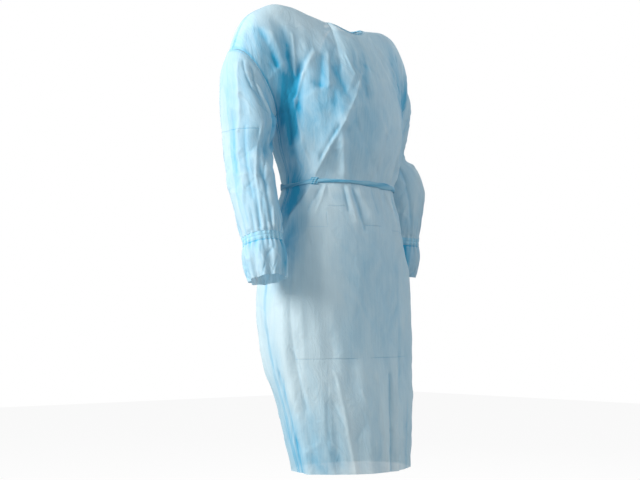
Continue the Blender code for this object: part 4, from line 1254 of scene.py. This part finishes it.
def spunbond(name, light, deep, lines="plain", open_share=0.15, glow=0.34):
    """Thin spunbonded nonwoven: long fibres and cloudy density, a fine bonded pattern, soft crinkles
    and packing lines. More cloth under it is deeper in colour and lets less through; the same
    attribute carries painted shade and painted highlights, and fold troughs are painted deeper and
    crests lighter, as painted shade and painted highlights."""
    material, nodes = new_material(name)
    place = nodes.add("ShaderNodeUVMap", {"uv_map": "cloth"}, {})
    across = nodes.value("ShaderNodeSeparateXYZ", {}, {0: place})
    down = Value(nodes, across.socket.node.outputs[1])
    layers = nodes.value("ShaderNodeAttribute", {"attribute_name": "layers"}, {}, output=2)
    relief = nodes.value("ShaderNodeAttribute", {"attribute_name": "relief"}, {}, output=2)

    def noise(scale, stretch, detail, rough, warp=0.0):
        laid = nodes.add("ShaderNodeMapping", {}, {0: place, 3: (*stretch, 1.0)})
        inputs = {"Vector": laid, "Scale": scale, "Detail": detail, "Roughness": rough, "Distortion": warp}
        return nodes.value("ShaderNodeTexNoise", {"noise_dimensions": "2D"}, inputs)

    streaks = noise(260.0, (1.0, 0.06), 3.0, 0.6)
    cloud = noise(15.0, (1.0, 0.55), 4.0, 0.55, 0.6)
    veil = noise(46.0, (1.0, 0.40), 3.0, 0.6, 0.8)
    fibre = noise(900.0, (1.0, 0.30), 2.0, 0.7)
    crumple = abs(noise(24.0, (1.0, 0.75), 4.0, 0.55, 1.2) - 0.5) * 2.0
    fine = abs(noise(85.0, (1.0, 0.6), 2.0, 0.5, 0.8) - 0.5) * 2.0
    dots = ((across * 2513.0).wave() * (down * 2513.0).wave()).step(0.55, 0.95)
    spot = nodes.add("ShaderNodeTexCoord", {}, {}, output=3)
    drop = 0 - nodes.value("ShaderNodeSeparateXYZ", {}, {0: spot}, output=2)
    pressed = pressed_lines(across, drop, PACK_LINES[lines]) if PACK_LINES[lines] else 0.0

    # Fold troughs get painted shade and crests painted highlights; the first attribute adds more cloth under
    # it and its painted shade and highlights
    trough = (0.0 - relief).high(0.0)
    crest = relief.high(0.0)
    mottle = (streaks - 0.5) * 0.22 + (cloud - 0.5) * 0.50 + (veil - 0.5) * 0.26
    depth = layers * 1.05 + trough * 0.40 - crest * 0.26 + mottle + pressed * 0.24 + 0.20
    depth = depth.high(0.0).low(1.0)
    height = crumple * 0.0013 + fine * 0.00034 + streaks * 0.00020 + fibre * 0.00010 - dots * 0.00006
    height = height - pressed * 0.0009
    bump = nodes.add("ShaderNodeBump", {}, {"Strength": 0.8, "Distance": 1.0, "Height": height})
    face = nodes.colour(depth, (*light, 1), (*deep, 1))
    front = nodes.add("ShaderNodeBsdfPrincipled", {}, {
        "Base Color": face, "Roughness": 0.58 + (fibre - 0.5) * 0.20, "Normal": bump, "IOR": 1.45,
        "Specular IOR Level": 0.25, "Sheen Weight": 0.06, "Sheen Roughness": 0.4,
    })
    back = nodes.add("ShaderNodeBsdfTranslucent", {}, {"Color": (*THROUGH_BLUE, 1), "Normal": bump})
    cloth = nodes.add("ShaderNodeMixShader", {}, {0: (1 - depth * 0.75) * glow, 1: front, 2: back})
    clear = nodes.add("ShaderNodeBsdfTransparent", {}, {"Color": (1, 1, 1, 1)})
    opening = (1 - depth) * open_share + (streaks - 0.5) * (0.5 * open_share)
    shown = nodes.add("ShaderNodeMixShader", {}, {0: opening.high(0.0), 1: cloth, 2: clear})
    nodes.add("ShaderNodeOutputMaterial", {}, {"Surface": shown})
    return material


LIGHT_BLUE = (0.70, 0.84, 0.89)
DEEP_BLUE = (0.012, 0.32, 0.55)
THROUGH_BLUE = (0.42, 0.68, 0.79)
front_cloth = spunbond("front_cloth", LIGHT_BLUE, DEEP_BLUE, "front")
back_cloth = spunbond("back_cloth", LIGHT_BLUE, DEEP_BLUE, "back")
# The sleeves take a darker light blue than the body cloth: painted shade that keeps them dim under the key
# light
sleeve_cloth_painted_shade = spunbond("sleeve_cloth_painted_shade", (0.60, 0.75, 0.81), DEEP_BLUE, "sleeve")
frill_cloth = spunbond("frill_cloth", LIGHT_BLUE, DEEP_BLUE)
folded_cloth = spunbond("folded_cloth", (0.40, 0.69, 0.82), (0.03, 0.30, 0.52), "plain", 0.03, 0.22)
gathered_cloth = spunbond("gathered_cloth", (0.56, 0.78, 0.87), (0.04, 0.36, 0.58), "plain", 0.06, 0.30)

# The gown
dressed(body_panel("gown_front", front_grid(), 11, front_cloth), "front_panel")
for side, body_seed, sleeve_seed, wrist_seed in (("right", 23, 41, 3), ("left", 37, 53, 5)):
    dressed(body_panel(f"gown_back_{side}", back_grid(side), body_seed, back_cloth), f"back_panel_{side}")
    sleeve_piece(side, sleeve_seed, sleeve_cloth_painted_shade)
    band_piece(side, wrist_seed, gathered_cloth)
    frill_piece(side, wrist_seed, frill_cloth)
    waist_end_piece(side, folded_cloth)
    neck_tie_piece(side, folded_cloth)
waist_back = body_point(180.0, WAIST)[1] + LAP_LIFT + 0.0003 + WAIST_KNOT[1]
waist_middle = (0.0, waist_back, -WAIST)
waist_knot = knot_piece("gown_waist_knot", waist_middle, WAIST_KNOT, folded_cloth, 0.4, "waist_tie_knot")
neck_knot = knot_piece("gown_neck_knot", NECK_KNOT_AT, NECK_KNOT, folded_cloth, 1.1, "neck_tie_knot")
cut_to(binding_piece(folded_cloth), neck_knot)
cut_to(waist_tie_piece(folded_cloth), tack_piece(folded_cloth), waist_knot)

# Floor, lights and camera
AZIMUTH = radians(-42.0)
BACK = Vector((sin(AZIMUTH), -cos(AZIMUTH), 0.0))
RIGHT = Vector((cos(AZIMUTH), sin(AZIMUTH), 0.0))
AMBIENT = 0.33
FLOOR_SIZE = 14.0
FLOOR_LEVEL = -1.43
SENSOR_WIDTH = 36.0
FOCAL_PIXELS = 1081.4
PICTURE_WIDTH = 640.0
YAW, PITCH = radians(1.160), radians(5.095)
CAMERA_AWAY = 2.76
CAMERA_LEVEL = -0.811


def looking(place, aim):
    """The place and turn of something that looks along a direction from a place."""
    return Matrix.Translation(place) @ aim.to_track_quat("-Z", "Y").to_matrix().to_4x4()


def soft_light(name, place, target, size, power, colour):
    """Adds a large square studio light at a place, aimed at a target."""
    lamp = bpy.data.lights.new(name, "AREA")
    lamp.shape, lamp.size, lamp.energy, lamp.color = "SQUARE", size, power, colour
    made = bpy.data.objects.new(name, lamp)
    bpy.context.scene.collection.objects.link(made)
    made.matrix_world = looking(place, Vector(target) - Vector(place))


bpy.ops.mesh.primitive_plane_add(size=FLOOR_SIZE, location=(0.0, 0.0, FLOOR_LEVEL))
floor = bpy.context.object
floor.name = "floor"
floor_paper, paper = new_material("floor_paper")
grain = paper.value("ShaderNodeTexNoise", {}, {"Scale": 3.0, "Detail": 2.0})
pale = paper.colour(grain, (0.91, 0.915, 0.92, 1), (0.94, 0.945, 0.95, 1))
matt = paper.add("ShaderNodeBsdfPrincipled", {}, {"Base Color": pale, "Roughness": 0.8})
bright = paper.add("ShaderNodeEmission", {}, {0: (1.0, 1.0, 1.0, 1), 1: 1.0})
lit = paper.add("ShaderNodeMixShader", {}, {0: 0.92, 1: matt, 2: bright})
dim = paper.add("ShaderNodeBsdfPrincipled", {}, {"Base Color": (0.25, 0.25, 0.25, 1), "Roughness": 0.8})
seen = paper.value("ShaderNodeLightPath", {}, {})
shown = paper.add("ShaderNodeMixShader", {}, {0: seen, 1: dim, 2: lit})
paper.add("ShaderNodeOutputMaterial", {}, {"Surface": shown})
floor.data.materials.append(floor_paper)

# Each light: its steps back, right and up, the height of its target, its size, power and colour
for name, back, right, up, target, size, power, colour in (
    ("key", 1.4, -2.5, 0.6, -0.55, 1.4, 152.0, (1.0, 0.99, 0.97)),
    ("fill", 2.6, 1.0, 0.3, -0.6, 2.0, 15.0, (0.96, 0.98, 1.0)),
    ("rear", -2.2, 0.6, 0.9, -0.5, 1.8, 24.0, (1.0, 1.0, 1.0)),
    ("rim", 0.3, 2.4, 0.1, -0.5, 1.0, 16.0, (0.95, 0.95, 1.0)),
):
    place = BACK * back + RIGHT * right + Vector((0, 0, up))
    soft_light(name, place, (0, 0, target), size, power, colour)

world = bpy.data.worlds.new("studio")
world.use_nodes = True
sky = Nodes(world.node_tree)
seen = sky.value("ShaderNodeLightPath", {}, {})
white = sky.add("ShaderNodeBackground", {}, {0: (1.0, 1.0, 1.0, 1.0), 1: seen * (1.0 - AMBIENT) + AMBIENT})
sky.add("ShaderNodeOutputWorld", {}, {"Surface": white})
bpy.context.scene.world = world
bpy.context.scene.view_settings.view_transform = "Standard"

camera_data = bpy.data.cameras.new("camera")
camera = bpy.data.objects.new("camera", camera_data)
bpy.context.scene.collection.objects.link(camera)
camera_data.sensor_width = SENSOR_WIDTH
camera_data.lens = FOCAL_PIXELS / PICTURE_WIDTH * SENSOR_WIDTH
forward = -BACK * cos(YAW) - RIGHT * sin(YAW)
aim = forward * cos(PITCH) + Vector((0.0, 0.0, sin(PITCH)))
camera.matrix_world = looking(BACK * CAMERA_AWAY + Vector((0.0, 0.0, CAMERA_LEVEL)), aim)
bpy.context.scene.camera = camera
